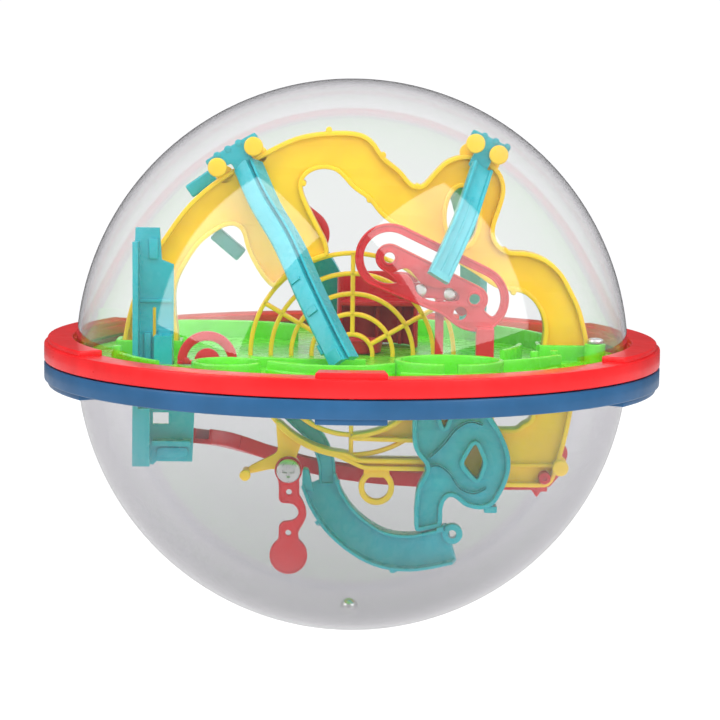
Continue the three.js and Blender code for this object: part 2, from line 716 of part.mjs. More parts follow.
function underRail() {
  const path = [
    [-45.8, -14, -26.4],
    [-39, 2, -30],
    [-28, 12, -34.8],
    [-12, 17, -40.2],
    [6, 18, -43],
    [26, 17, -44],
    [46, 13, -43.8],
    [61, 7.4, -42.8],
  ];
  const rail = swept(channel(6.8, 4.6, 1.4, 1.2), path, () => v3(0, 0, 1), 22);
  const lug = uprightPlate([v2(56.2, -42), v2(58.8, -45.6), v2(61.2, -42)], 6.4, 8.4);
  const finger = uprightPlate(
    [[58.6, -41], [62.4, -42.4], [66.8, -37], [68.4, -31], [67.4, -28.2], [65.6, -30], [63, -36]].map(
      ([x, z]) => v2(x, z),
    ),
    4.6,
    6.6,
  );
  const peg = join(
    pinAlongY(RED_PIN[0], RED_PIN[1], 1.9, -5.4, 6, 14),
    block([58.6, 4.6, -44], [62, 7, -36]),
  );
  return join(rail, peg, lug, finger);
}

// ---------------------------------------------------------------- teal tracks under the deck
function lowerTrack() {
  const path = [
    [-9.8, 7, -40.6],
    [-7.2, 6, -46.6],
    [-2.8, 4, -52.4],
    [3.6, 1, -57.2],
    [11, -2.6, -60],
    [20, -6.4, -60],
    [31.6, -9.6, -57],
  ];
  const band = swept(channel(11.6, 6, 2), path, towardsFront, 22);
  const branchLine = smoothLine([[-21, -17.4], [-16, -22], [-10.8, -27.2], [-7.8, -34], [-7.2, -42]], 4);
  const branch = uprightPlate(ribbon(branchLine, 5.3), 4.6, 7.4);
  const prongOutline = [v2(-15.2, -43), v2(-11.4, -44), v2(-13.2, -36.6), v2(-15, -36.4)];
  const prong = uprightPlate(prongOutline, 2, 6.6);
  const [eyeX, eyeZ] = [31.5, -53.8];
  const eyelet = cut(
    pinAlongY(eyeX, eyeZ, 3.2, -13.6, -10.4, 20),
    pinAlongY(eyeX, eyeZ, 1.3, -15, -9, 12),
  );
  return join(band, branch, prong, eyelet);
}

function figureLoopTrack() {
  const top = -5;
  const outline = outlineOf(
    [v2(19.9, -53.6), v2(28.4, -51.8)],
    smoothLine([[28.4, -48], [28.6, -44.6], [31, -41.8], [35.6, -45.4], [41.2, -46.3]], 2.6),
    [v2(44.6, -44.6)],
    smoothLine([[47.8, -38.5], [49.2, -32.8], [48.3, -27], [45.6, -21.4], [42, -16], [38, -10]], 3),
    [v2(35, top), v2(20, top)],
    smoothLine([[18.8, -18], [19, -26], [20.4, -29.4], [23.6, -33.4], [21.6, -37], [20.2, -40.4]], 2.6),
    [v2(19.7, -46)],
  );
  const kite = [v2(38.2, -25.4), v2(40.9, -31.4), v2(39, -37.2), v2(34.4, -32)];
  const wedge = [v2(26.4, -15), v2(31, -15), v2(28.6, -21.4)];
  return rimmedPlate(outline, [outlineOf(kite), outlineOf(wedge)], 3, -10);
}

// ---------------------------------------------------------------- swinging arm and its screw
const ARM_FRONT = -8.6;
const ARM_BACK = -6.4;

function swingArm() {
  const [x, z] = ARM_PIVOT;
  const boss = pinAlongY(x, z, 4.3, ARM_FRONT, ARM_BACK, 24);
  const upper = block([x - 3, ARM_FRONT, z - 10], [x + 3.4, ARM_BACK, z - 2]);
  const neckLine = smoothLine(
    [[x + 1.6, z - 9.2], [x + 4.8, z - 11], [x + 4.9, z - 14.2], [x + 1, z - 17]],
    1.6,
  );
  const neck = uprightPlate(ribbon(neckLine, 2), ARM_FRONT, ARM_BACK);
  const lower = block([x - 2.8, ARM_FRONT, z - 22], [x + 2.8, ARM_BACK, z - 16]);
  const disc = pinAlongY(x + 0.2, z - 26.7, 5.9, ARM_FRONT, ARM_BACK, 28);
  return cut(
    join(boss, upper, neck, lower, disc),
    pinAlongY(x, z, 1.6, -12, 0, 12),
    pinAlongY(x + 0.2, z - 6.8, 0.9, -12, 0, 10),
    pinAlongY(x + 0.1, z - 19.6, 0.9, -12, 0, 10),
  );
}

function armScrew() {
  const [x, z] = ARM_PIVOT;
  return join(
    pinAlongY(x, z, 3.7, ARM_FRONT - 2.1, ARM_FRONT - 0.3, 20),
    pinAlongY(x, z, 1.3, ARM_FRONT - 0.4, 1.6, 12),
  );
}

const deckScrew = () =>
  join(
    postAlongZ(POST.x, POST.y, 2.5, 5.7, 7.1, 16),
    postAlongZ(POST.x, POST.y, 1, 1.5, 5.8, 10),
  );

const steelBall = () =>
  toSolid(
    new THREE.SphereGeometry(BALL_RADIUS, 20, 12).rotateX(Math.PI / 2).translate(0, 0, -BALL_ORBIT),
  );

// ---------------------------------------------------------------- assembly
const maze = new THREE.Group();
maze.name = 'tilt_maze_ball';

function place(name, solid, color, roughness = 0.4, metalness = 0) {
  const material = new THREE.MeshStandardMaterial({ color, roughness, metalness });
  const mesh = new THREE.Mesh(toGeometry(solid), material);
  mesh.name = name;
  maze.add(mesh);
}

place('upper_dome', dome(1), CLEAR, 0.08);
place('lower_dome', dome(-1), CLEAR, 0.08);
place('upper_ring', clampRing(1), RED);
place('lower_ring', clampRing(-1), BLUE);
SCREW_ANGLES.forEach((angle, i) => place(`ring_screw_${i + 1}`, ringScrew(angle), STEEL, 0.3, 0.9));
place('equator_deck', equatorDeck(), GREEN);
place('upper_arch', upperArch(), YELLOW);
place('lower_plate', lowerPlate(), YELLOW);
place('front_left_chute', frontLeftChute(), TEAL);
place('front_right_chute', frontRightChute(), TEAL);
place('rear_left_chute', rearLeftChute(), TEAL);
place('rear_right_chute', rearRightChute(), TEAL);
place('left_bracket', leftBracket(), TEAL);
place('arch_clip_outer', archClip(9.4, -35, -47.4, 52.2), TEAL);
place('arch_clip_inner', archClip(11, 40, -39, 33.4), TEAL);
place('loop_rail', loopRail(), RED);
place('loop_rail_strap', loopStrap(), RED);
LOOP_SCREWS.forEach((at, i) => place(`loop_rail_screw_${i + 1}`, loopScrew(at), STEEL, 0.3, 0.9));
place('small_gate', smallGate(), RED);
place('rear_tower', rearTower(), RED);
place('rear_link', rearLink(), RED);
place('centre_cup', centreCup(), RED);
place('under_rail', underRail(), RED);
place('lower_track', lowerTrack(), TEAL);
place('figure_loop_track', figureLoopTrack(), TEAL);
place('deck_screw', deckScrew(), STEEL, 0.3, 0.9);
place('swing_arm', swingArm(), RED);
place('swing_arm_screw', armScrew(), STEEL, 0.3, 0.9);
place('steel_ball', steelBall(), STEEL, 0.15, 1);

export default maze;
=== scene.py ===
# %% [markdown]
# # A tilt maze ball, piece by piece
# The object is a clear plastic sphere that a red and a blue ring clamp at its middle. Inside it a
# green deck, yellow plates and teal and red tracks guide a steel ball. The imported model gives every
# size and place: the scene is built round it, in metres, with +Z up and the front towards -Y.

import math

import bmesh
import bpy
import numpy as np
from mathutils import Matrix, Vector


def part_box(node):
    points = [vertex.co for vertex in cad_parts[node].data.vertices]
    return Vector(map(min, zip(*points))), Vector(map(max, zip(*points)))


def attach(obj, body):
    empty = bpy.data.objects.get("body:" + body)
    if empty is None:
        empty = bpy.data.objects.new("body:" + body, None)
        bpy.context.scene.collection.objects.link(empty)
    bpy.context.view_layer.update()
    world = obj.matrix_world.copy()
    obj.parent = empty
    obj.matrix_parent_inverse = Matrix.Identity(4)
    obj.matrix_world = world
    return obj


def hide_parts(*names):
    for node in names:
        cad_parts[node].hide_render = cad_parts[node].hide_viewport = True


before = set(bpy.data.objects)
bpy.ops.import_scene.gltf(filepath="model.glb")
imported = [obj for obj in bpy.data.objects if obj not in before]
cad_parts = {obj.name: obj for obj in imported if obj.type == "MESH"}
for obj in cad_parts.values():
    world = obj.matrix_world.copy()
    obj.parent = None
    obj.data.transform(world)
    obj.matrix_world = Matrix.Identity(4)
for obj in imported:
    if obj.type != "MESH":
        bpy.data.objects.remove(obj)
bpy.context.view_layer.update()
MM = 0.001
SHELL, SWING, BALL = "shell", "arm", "ball"

# %% [markdown]
# ## Helpers
# Objects, nodes and links are made the same way everywhere, so a few short functions do it.

# %% Objects, nodes and links
def placed(name, data):
    """A new object in the scene."""
    item = bpy.data.objects.new(name, data)
    bpy.context.scene.collection.objects.link(item)
    return item


def set_inputs(node, **values):
    """Sets a node's input sockets by name."""
    for name, value in values.items():
        node.inputs[name.replace("_", " ")].default_value = value


def shader_node(tree, kind, **values):
    """A node whose input sockets are set by name."""
    node = tree.nodes.new(kind)
    set_inputs(node, **values)
    return node


def math_node(tree, operation):
    """A node that joins two numbers."""
    node = tree.nodes.new("ShaderNodeMath")
    node.operation = operation
    return node


def wire(tree, *links):
    """Links, each from a node's output to a node's input."""
    for source, output, target, socket in links:
        tree.links.new(source.outputs[output], target.inputs[socket])


def new_material(name):
    """An empty material, its node tree and its main shader."""
    material = bpy.data.materials.new(name)
    material.use_nodes = True
    return material, material.node_tree, material.node_tree.nodes["Principled BSDF"]


# %% [markdown]
# ## The camera
# The ball is seen from a little above its ring, from about eight ball widths away. A long lens from
# far off keeps the ring's ellipse flat. The view is turned a fraction of a degree about its own axis,
# and shifted slightly, so that the ball sits a touch above and left of the middle.

# %% Camera
CAMERA_DISTANCE = 834 * MM
CAMERA_ELEVATION = math.radians(6.74)
CAMERA_ROLL = math.radians(0.70)

camera_data = bpy.data.cameras.new("camera")
camera_data.lens = 134.3
camera_data.sensor_width = 36
camera_data.shift_x = 0.0111
camera_data.shift_y = -0.0079
camera_data.clip_start = 0.01
camera = placed("camera", camera_data)
backwards = Vector((0, -math.cos(CAMERA_ELEVATION), math.sin(CAMERA_ELEVATION)))
aim = (-backwards).to_track_quat("-Z", "Y").to_matrix().to_4x4()
camera.matrix_world = (
    Matrix.Translation(backwards * CAMERA_DISTANCE) @ aim @ Matrix.Rotation(CAMERA_ROLL, 4, "Z")
)
bpy.context.scene.camera = camera
print("camera at", [round(value, 3) for value in camera.location])

# %% [markdown]
# ## Studio
# A clear ball shows what stands round it, so the studio is kept plain. A pale round floor lies well
# below the ball and ends level with its ring, so the lower dome is seen against the floor and the upper
# one against the sky. This isn't a real room: in mirror reflections the sky is nearly dark and the
# floor doesn't glow, so the colours inside the domes aren't veiled. Two tall softboxes at the front
# left and right draw a fan of light on each side of the upper dome. Only mirror-like surfaces and the
# view through clear plastic show them.

# %% Floor, sky and lights
def area_light(name, place, width, height, power, aim_at=(0, 0, 0)):
    """A soft rectangular light that faces a point and isn't seen by the camera or through plastic."""
    data = bpy.data.lights.new(name, "AREA")
    data.shape = "RECTANGLE"
    data.size = width
    data.size_y = height
    data.energy = power
    light = placed(name, data)
    light.location = place
    light.rotation_euler = (Vector(aim_at) - Vector(place)).to_track_quat("-Z", "Y").to_euler()
    light.visible_camera = False
    light.visible_transmission = False
    return light


def stage_object(name, points, faces, material):
    """A mesh of the studio, which isn't part of the ball."""
    mesh = bpy.data.meshes.new(name)
    mesh.from_pydata(points, [], faces)
    mesh.materials.append(material)
    piece = placed(name, mesh)
    return piece


def softbox(name, azimuth, elevation, roll, width, height, power, distance=1.2):
    """A panel seen in mirrors and through plastic, in degrees round from the front and up."""
    a, e = math.radians(azimuth), math.radians(elevation)
    place = Vector((math.sin(a) * math.cos(e), -math.cos(a) * math.cos(e), math.sin(e))) * distance
    panel = area_light(name, place, width, height, power)
    panel.rotation_euler.rotate_axis("Z", math.radians(roll))
    panel.visible_diffuse = False
    panel.visible_transmission = True
    return panel


FLOOR_Z = -420 * MM
FLOOR_RADIUS = 3.4
FLOOR_SIDES = 96
FLOOR_GLOW = 0.5
SKY_SEEN = 1.05
SKY_MIRRORED = 0.12


def mirror_share(tree, path):
    """A node that gives 1 in mirror reflections and 0 elsewhere."""
    both = math_node(tree, "MULTIPLY")
    wire(tree, (path, "Is Glossy Ray", both, 0), (path, "Is Reflection Ray", both, 1))
    return both


floor_material, floor_tree, floor_shader = new_material("studio_floor")
set_inputs(
    floor_shader, Base_Color=(0.7, 0.7, 0.7, 1), Roughness=0.9, Emission_Color=(1, 1, 1, 1)
)
floor_path = floor_tree.nodes.new("ShaderNodeLightPath")
floor_mirrored = mirror_share(floor_tree, floor_path)
glow = shader_node(floor_tree, "ShaderNodeMapRange", To_Min=FLOOR_GLOW, To_Max=0.0)
wire(floor_tree, (floor_mirrored, 0, glow, "Value"), (glow, "Result", floor_shader, "Emission Strength"))
rim = [2 * math.pi * i / FLOOR_SIDES for i in range(FLOOR_SIDES)]
stage_object(
    "studio_floor",
    [(FLOOR_RADIUS * math.cos(a), FLOOR_RADIUS * math.sin(a), FLOOR_Z) for a in rim],
    [tuple(range(FLOOR_SIDES))],
    floor_material,
)

world = bpy.data.worlds.new("studio")
world.use_nodes = True
sky_tree = world.node_tree
sky = sky_tree.nodes["Background"]
sky.inputs["Color"].default_value = (0.985, 0.98, 1, 1)
sky_path = sky_tree.nodes.new("ShaderNodeLightPath")
sky_mirrored = mirror_share(sky_tree, sky_path)
dimmed = shader_node(sky_tree, "ShaderNodeMapRange", To_Min=1.0, To_Max=SKY_MIRRORED)
direct = shader_node(sky_tree, "ShaderNodeMapRange", To_Max=SKY_SEEN)
strength = math_node(sky_tree, "MAXIMUM")
wire(
    sky_tree,
    (sky_mirrored, "Value", dimmed, "Value"), (sky_path, "Is Camera Ray", direct, "Value"),
    (dimmed, "Result", strength, 0), (direct, "Result", strength, 1),
    (strength, "Value", sky, "Strength"),
)
bpy.context.scene.world = world
bpy.context.scene.view_settings.view_transform = "Standard"

area_light("top_light", (-0.35, -0.5, 1.2), 0.9, 0.7, 10)
area_light("front_light", (0.5, -1.5, 0.45), 1.2, 0.8, 9)
softbox("left_softbox", -62, 35, -8, 1.0, 1.3, 13)
softbox("right_softbox", 52, 37, 8, 1.0, 1.3, 12)
for name in ("top_light", "front_light"):
    bpy.data.objects[name].visible_glossy = False
print("lights", len(bpy.data.lights), "floor at", FLOOR_Z)

# %% [markdown]
# ## Moulded plastic
# Every track, plate and ring is injection-moulded, so one recipe serves them all. A slow noise varies
# the colour as uneven pigment does, a second noise varies the gloss, and two bumps give the skin its
# long ripple and its fine grain. A thin clear coat makes the highlight crisp, and a little scattering
# under the surface lets thin walls glow.

# %% Plastic materials
def ramp(tree, low, low_color, high, high_color):
    """A colour ramp between two positions."""
    node = tree.nodes.new("ShaderNodeValToRGB")
    first, last = node.color_ramp.elements
    first.position = low
    last.position = high
    first.color = (*low_color, 1)
    last.color = (*high_color, 1)
    return node


def plastic(name, color, gloss=0.24, scatter=0.12):
    """A glossy moulded plastic with uneven pigment, gloss and skin."""
    material, tree, shader = new_material(name)
    set_inputs(
        shader, Specular_IOR_Level=0.35, Subsurface_Weight=scatter, Subsurface_Radius=(1, 0.6, 0.4),
        Subsurface_Scale=1.6 * MM, Coat_Weight=0.12, Coat_Roughness=0.06,
    )
    place = tree.nodes.new("ShaderNodeTexCoord")
    pigment = shader_node(tree, "ShaderNodeTexNoise", Scale=70.0, Detail=3.0, Roughness=0.6)
    darker = [channel * 0.86 for channel in color]
    lighter = [min(1, channel * 1.06 + 0.004) for channel in color]
    shades = ramp(tree, 0.3, darker, 0.72, lighter)
    patches = shader_node(tree, "ShaderNodeTexNoise", Scale=260.0, Detail=4.0)
    spread = shader_node(tree, "ShaderNodeMapRange", To_Min=gloss - 0.07, To_Max=gloss + 0.1)
    ripple = shader_node(tree, "ShaderNodeTexNoise", Scale=110.0, Detail=1.0)
    grain = shader_node(tree, "ShaderNodeTexNoise", Scale=2600.0, Detail=2.0)
    skin = shader_node(tree, "ShaderNodeBump", Strength=0.35, Distance=0.12 * MM)
    fine_skin = shader_node(tree, "ShaderNodeBump", Strength=0.12, Distance=0.03 * MM)
    for texture in (pigment, patches, ripple, grain):
        wire(tree, (place, "Object", texture, "Vector"))
    wire(
        tree,
        (pigment, "Fac", shades, "Fac"), (shades, "Color", shader, "Base Color"),
        (patches, "Fac", spread, "Value"), (spread, "Result", shader, "Roughness"),
        (ripple, "Fac", skin, "Height"), (grain, "Fac", fine_skin, "Height"),
        (skin, "Normal", fine_skin, "Normal"), (fine_skin, "Normal", shader, "Normal"),
    )
    return material


RING_RED = plastic("ring_red", (0.74, 0.005, 0.008), 0.3, 0.03)
RING_BLUE = plastic("ring_blue", (0.012, 0.092, 0.22), 0.34, 0.02)
DECK_GREEN = plastic("deck_green", (0.13, 0.72, 0.02), 0.26, 0.2)
PLATE_YELLOW = plastic("plate_yellow", (0.99, 0.62, 0.015), 0.3)
TRACK_TEAL = plastic("track_teal", (0.004, 0.40, 0.46), 0.26)
RAIL_RED = plastic("rail_red", (0.62, 0.008, 0.015), 0.28)
print("plastics", [m.name for m in bpy.data.materials])

# %% [markdown]
# ## Clear domes and bright metal
# The domes are smooth clear plastic with a faint grey-lilac tint that deepens where the wall is seen
# edge-on, which Layer Weight gives. The lower dome is the same clear plastic with painted shade: it is
# made darker, and darker still towards its foot. The refractive index is set below styrene's, so that the
# steel ball stays in sight. Hair-fine scuffs from handling are a bump only. The screws are zinc-plated
# and finely scored, and the ball is polished with a few dull marks.

# %% Clear and metal materials
DOME_IOR = 1.42
DOME_RADIUS = 0.085


def clear_styrene(name, clear_tint_and_shade, edge_tint_and_shade, foot_shade=1.0):
    """Smooth clear plastic whose tint deepens towards its edge-on rim, with painted shade that darkens it
    down to its lowest point when the foot factor is below 1.
    """
    material, tree, shader = new_material(name)
    set_inputs(shader, Transmission_Weight=1, Roughness=0.02, IOR=DOME_IOR)
    facing = shader_node(tree, "ShaderNodeLayerWeight", Blend=0.5)
    depth = ramp(tree, 0.45, clear_tint_and_shade, 1.0, edge_tint_and_shade)
    place = tree.nodes.new("ShaderNodeTexCoord")
    stretch = shader_node(tree, "ShaderNodeMapping", Scale=(60, 60, 900))
    scuffs = shader_node(tree, "ShaderNodeTexNoise", Scale=1.0, Detail=5.0)
    scratch = shader_node(tree, "ShaderNodeBump", Strength=0.03, Distance=0.02 * MM)
    height = tree.nodes.new("ShaderNodeSeparateXYZ")
    # Painted shade: when the foot factor is below 1, the colour is scaled down from the seam to the lowest
    # point.
    shade_to_foot = shader_node(tree, "ShaderNodeMapRange", From_Min=-DOME_RADIUS, From_Max=0.0, To_Min=foot_shade)
    tinted_and_shaded = tree.nodes.new("ShaderNodeVectorMath")
    tinted_and_shaded.operation = "SCALE"
    wire(
        tree,
        (place, "Object", height, "Vector"), (height, "Z", shade_to_foot, "Value"),
        (facing, "Facing", depth, "Fac"), (depth, "Color", tinted_and_shaded, "Vector"),
        (shade_to_foot, "Result", tinted_and_shaded, "Scale"), (tinted_and_shaded, "Vector", shader, "Base Color"),
        (place, "Object", stretch, "Vector"), (stretch, "Vector", scuffs, "Vector"),
        (scuffs, "Fac", scratch, "Height"), (scratch, "Normal", shader, "Normal"),
    )
    return material


def bright_metal(name, color, roughness, score):
    """Plated steel with fine scores; a larger score is a duller metal."""
    material, tree, shader = new_material(name)
    set_inputs(shader, Base_Color=(*color, 1), Metallic=1)
    place = tree.nodes.new("ShaderNodeTexCoord")
    marks = shader_node(tree, "ShaderNodeTexNoise", Scale=900.0, Detail=5.0)
    dull = shader_node(tree, "ShaderNodeMapRange", To_Min=roughness * 0.6, To_Max=roughness * 1.6)
    cut = shader_node(tree, "ShaderNodeBump", Strength=score, Distance=0.02 * MM)
    wire(
        tree,
        (place, "Object", marks, "Vector"), (marks, "Fac", dull, "Value"),
        (dull, "Result", shader, "Roughness"), (marks, "Fac", cut, "Height"),
        (cut, "Normal", shader, "Normal"),
    )
    return material


UPPER_CLEAR = clear_styrene("upper_clear", (0.965, 0.96, 0.968), (0.80, 0.79, 0.81))
# Painted shade: the lower dome is the upper dome's clear plastic made darker, and darker still towards its
# foot.
LOWER_CLEAR_SHADED = clear_styrene("lower_clear_shaded", (0.81, 0.80, 0.82), (0.50, 0.49, 0.51), 0.70)
SCREW_ZINC = bright_metal("screw_zinc", (0.72, 0.72, 0.70), 0.28, 0.4)
BALL_STEEL = bright_metal("ball_steel", (0.78, 0.78, 0.77), 0.08, 0.06)
print("materials", len(bpy.data.materials))

# %% [markdown]
# ## Making a mesh into a piece
# Each finished mesh becomes one object that rides on a body, takes its material and stands for the
# plain solids it replaces, which are hidden. Curved faces are shaded smooth, and only true corners stay
# sharp.

# %% Pieces from meshes
WELD = 1e-6
SIZE_JUMP = 40
NEARLY_FLAT = 8


def soften(mesh, sharp_degrees=32):
    """Smooth shading that breaks at sharp edges and where a tiny face meets a very large one."""
    work = bmesh.new()
    work.from_mesh(mesh)
    bmesh.ops.remove_doubles(work, verts=work.verts, dist=WELD)
    for face in work.faces:
        face.smooth = True
    areas = {face: face.calc_area() for face in work.faces}
    for edge in work.edges:
        angle = math.degrees(edge.calc_face_angle(math.pi))
        sizes = sorted(areas[face] for face in edge.link_faces)
        uneven = len(sizes) == 2 and sizes[1] > SIZE_JUMP * sizes[0] and angle > NEARLY_FLAT
        edge.smooth = angle < sharp_degrees and not uneven
    work.to_mesh(mesh)
    work.free()
    return mesh


def finished(work, name):
    """A new mesh from a work mesh, which is then freed."""
    mesh = bpy.data.meshes.new(name)
    work.to_mesh(mesh)
    work.free()
    return mesh


def merged(*meshes):
    """Several meshes as one."""
    work = bmesh.new()
    for mesh in meshes:
        work.from_mesh(mesh)
    return finished(work, "merged")


def show(name, mesh, material, slot, *nodes, body=SHELL):
    """Makes a mesh a piece of the object that stands for some CAD nodes."""
    soften(mesh)
    mesh.materials.clear()
    mesh.materials.append(material)
    mesh.polygons.foreach_set("material_index", [0] * len(mesh.polygons))
    piece = placed(name, mesh)
    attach(piece, body)
    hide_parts(*nodes)
    print(name, len(mesh.polygons), "faces")
    return piece


# %% [markdown]
# ## Domes
# A dome is one thin shell of revolution: an inner and an outer sphere, joined at the foot by the flat
# flange that the rings clamp. Its outer face is the imported model's. Its wall is thinner than the packed
# one. That too is set so that the steel ball at the bottom stays in sight.

# %% Turned shapes and the two domes
def turned(profile, sides, closed=False):
    """A solid of revolution about Z from (radius, height) points."""
    work = bmesh.new()
    turns = [2 * math.pi * i / sides for i in range(sides)]
    rings = []
    for radius, height in profile:
        if radius < 1e-7:
            rings.append([work.verts.new((0, 0, height))] * sides)
        else:
            rings.append(
                [work.verts.new((radius * math.cos(a), radius * math.sin(a), height)) for a in turns]
            )
    for low, high in zip(rings, rings[1:] + rings[:1] if closed else rings[1:]):
        for i in range(sides):
            j = (i + 1) % sides
            corners = list(dict.fromkeys([low[i], low[j], high[j], high[i]]))
            if len(corners) > 2:
                work.faces.new(corners)
    bmesh.ops.recalc_face_normals(work, faces=work.faces)
    return finished(work, "turned")


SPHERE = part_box("upper_dome")[1].z
DOME_WALL = 1.0 * MM
SEAM = (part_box("upper_dome")[0].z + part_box("lower_dome")[1].z) / 2
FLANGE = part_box("upper_dome")[1].x
FLANGE_THICKNESS = 1.4 * MM


def dome(way, sides=160, rows=44):
    """One dome on its flange. way is 1 for the upper and -1 for the lower."""
    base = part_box("upper_dome")[0].z if way > 0 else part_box("lower_dome")[1].z
    far = base + way * FLANGE_THICKNESS

    def arc(radius, height):
        start = math.asin(way * height / radius)
        turns = [start + (math.pi / 2 - start) * i / rows for i in range(rows)]
        return [(radius * math.cos(a), way * radius * math.sin(a)) for a in turns] + [(0, way * radius)]

    inner = arc(SPHERE - DOME_WALL, base)
    outer = arc(SPHERE, far)
    return turned(inner[::-1] + [(FLANGE, base), (FLANGE, far)] + outer, sides)


for way, name, node, material in (
    (1, "clear_upper_dome", "upper_dome", UPPER_CLEAR),
    (-1, "clear_lower_dome", "lower_dome", LOWER_CLEAR_SHADED),
):
    shell = show(name, dome(way), material, "clear_dome", node)
    shell.visible_shadow = False
    shell.visible_diffuse = False

# %% [markdown]
# ## Clamp rings
# The rings are turned too, from a section with rounded corners: a tall outer wall and a lip that
# presses on the domes' flanges. Raised lugs, each a short sector with eased edges, hide the screws.

# %% Ring section and lugs
def rounded(corners, cut, steps=3, closed=True):
    """A polygon with its corners rounded off, or less so where its sides are short."""
    points = []
    count = len(corners)
    for i, corner in enumerate(corners):
        here = Vector(corner)
        if not closed and i in (0, count - 1):
            points.append(tuple(here))
            continue
        before = Vector(corners[i - 1]) - here
        after = Vector(corners[(i + 1) % count]) - here
        start = here + before.normalized() * min(cut, before.length * 0.45)
        end = here + after.normalized() * min(cut, after.length * 0.45)
        for step in range(steps + 1):
            t = step / steps
            points.append(tuple(start * (1 - t) ** 2 + here * 2 * t * (1 - t) + end * t ** 2))
    return points


def bar(left, low, right, high, cut):
    """A rectangular section with rounded corners."""
    return rounded([(left, low), (right, low), (right, high), (left, high)], cut)


def eased(mesh, width, segments=2, sharp_degrees=30):
    """A mesh whose sharp edges are rounded off."""
    work = bmesh.new()
    work.from_mesh(mesh)
    bmesh.ops.remove_doubles(work, verts=work.verts, dist=WELD)
    limit = math.radians(1)
    bmesh.ops.dissolve_limit(work, angle_limit=limit, verts=work.verts, edges=work.edges)
    sharp = [edge for edge in work.edges if edge.calc_face_angle(0) > math.radians(sharp_degrees)]
    bmesh.ops.bevel(
        work, geom=sharp, offset=width, segments=segments, profile=0.5, affect="EDGES", clamp_overlap=True
    )
    return finished(work, "eased")


def eased_node(node, width, segments=2):
    """A CAD node's own shape with its edges rounded off."""
    return eased(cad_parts[node].data, width, segments)


RING_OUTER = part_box("upper_ring")[1].x
RING_INNER = 86 * MM
LUG_RISE = 1.6 * MM
LUGS = [(-96.2, -83.8), (83.8, 96.2), (-32, 32), (148, 212)]


def sector(inner, outer, low, high, start, end):
    """A stretch of a flat ring between two angles in degrees."""
    steps = max(6, round((end - start) / 3))
    turns = [math.radians(start + (end - start) * i / steps) for i in range(steps + 1)]
    corners = [(inner, low), (outer, low), (outer, high), (inner, high)]
    points = [(r * math.cos(a), r * math.sin(a), z) for a in turns for r, z in corners]
    faces = [(3, 2, 1, 0), tuple(4 * steps + i for i in range(4))]
    for i in range(steps):
        for j in range(4):
            k = (j + 1) % 4
            faces.append((4 * i + j, 4 * i + k, 4 * i + 4 + k, 4 * i + 4 + j))
    mesh = bpy.data.meshes.new("sector")
    mesh.from_pydata(points, [], faces)
    return eased(mesh, 0.45 * MM, 3)


def clamp_ring(way):
    """A ring with its lip and lugs. way is 1 above the seam and -1 below it."""
    low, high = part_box("upper_ring" if way > 0 else "lower_ring")
    seam, top = (low.z, high.z) if way > 0 else (high.z, low.z)
    far = top - way * LUG_RISE
    lip = SEAM + way * (0.9 * MM + FLANGE_THICKNESS + 0.3 * MM)
    wall = FLANGE + 0.4 * MM
    section = [
        (wall, seam), (RING_OUTER, seam), (RING_OUTER, far), (RING_INNER, far), (RING_INNER, lip),
        (wall, lip),
    ]
    body = turned(rounded(section, 0.7 * MM), 192, closed=True)
    lugs = [
        sector(RING_INNER + 0.3 * MM, RING_OUTER - 1.1 * MM, *sorted((far - way * MM, top)), *span)
        for span in LUGS
    ]
    return merged(body, *lugs)


show("red_clamp_ring", clamp_ring(1), RING_RED, "red_ring", "upper_ring")
show("blue_clamp_ring", clamp_ring(-1), RING_BLUE, "blue_ring", "lower_ring")

# %% [markdown]
# ## Outlines
# The upright plates are flat mouldings with flowing edges. Each outline is a few stretches of smooth
# line and arc, laid end to end, walked at even steps and relaxed a little so that every corner has the
# small radius a mould needs. Lengths here are in millimetres and become metres in the mesh.

# %% Lines and outlines
def even_steps(line, step, closed=False):
    """The same line walked at even steps."""
    line = np.asarray(line, float)
    if closed:
        line = np.vstack([line, line[:1]])
    along = np.concatenate([[0], np.cumsum(np.linalg.norm(np.diff(line, axis=0), axis=1))])
    count = max(2, round(along[-1] / step))
    marks = np.linspace(0, along[-1], count + 1)[: count if closed else count + 1]
    return np.stack([np.interp(marks, along, line[:, k]) for k in range(line.shape[1])], axis=1)


def smooth_line(points, step=1.0):
    """A smooth line through a few points."""
    knots = np.array([points[0], *points, points[-1]], float)
    fine = []
    for a, b, c, d in zip(knots, knots[1:], knots[2:], knots[3:]):
        for t in np.linspace(0, 1, 24, endpoint=False):
            fine.append(
                b + (c - a) * t / 2 + (2 * a - 5 * b + 4 * c - d) * t ** 2 / 2
                + (3 * b - 3 * c + d - a) * t ** 3 / 2
            )
    return even_steps(fine + [knots[-1]], step)


def arc_line(x, y, radius, start, end, step=1.0):
    """A stretch of a circle between two angles in degrees."""
    count = max(4, round(abs(math.radians(end - start)) * radius / step))
    turns = np.radians(np.linspace(start, end, count + 1))
    return np.stack([x + radius * np.cos(turns), y + radius * np.sin(turns)], axis=1)


def outline(*stretches, step=0.9, ease=5):
    """One closed outline, anticlockwise, with small radii at its corners."""
    line = even_steps(np.vstack([np.asarray(stretch, float) for stretch in stretches]), step, True)
    for _ in range(ease):
        line = line / 2 + (np.roll(line, 1, 0) + np.roll(line, -1, 0)) / 4
    x, y = line.T
    area = (x * np.roll(y, -1) - y * np.roll(x, -1)).sum()
    return line if area > 0 else line[::-1]


# %% [markdown]
# ## Flat mouldings
# A plate is a filled flat curve with a small bevel, stood upright. Its rim is a wall with rounded edges
# that follows the outline on its inner side. The same two helpers make every plate in the ball.

# %% Plates and walls along a line
def evaluated(holder):
    """The plain mesh that an object's curve or modifiers give."""
    depsgraph = bpy.context.evaluated_depsgraph_get()
    return bpy.data.meshes.new_from_object(holder.evaluated_get(depsgraph))


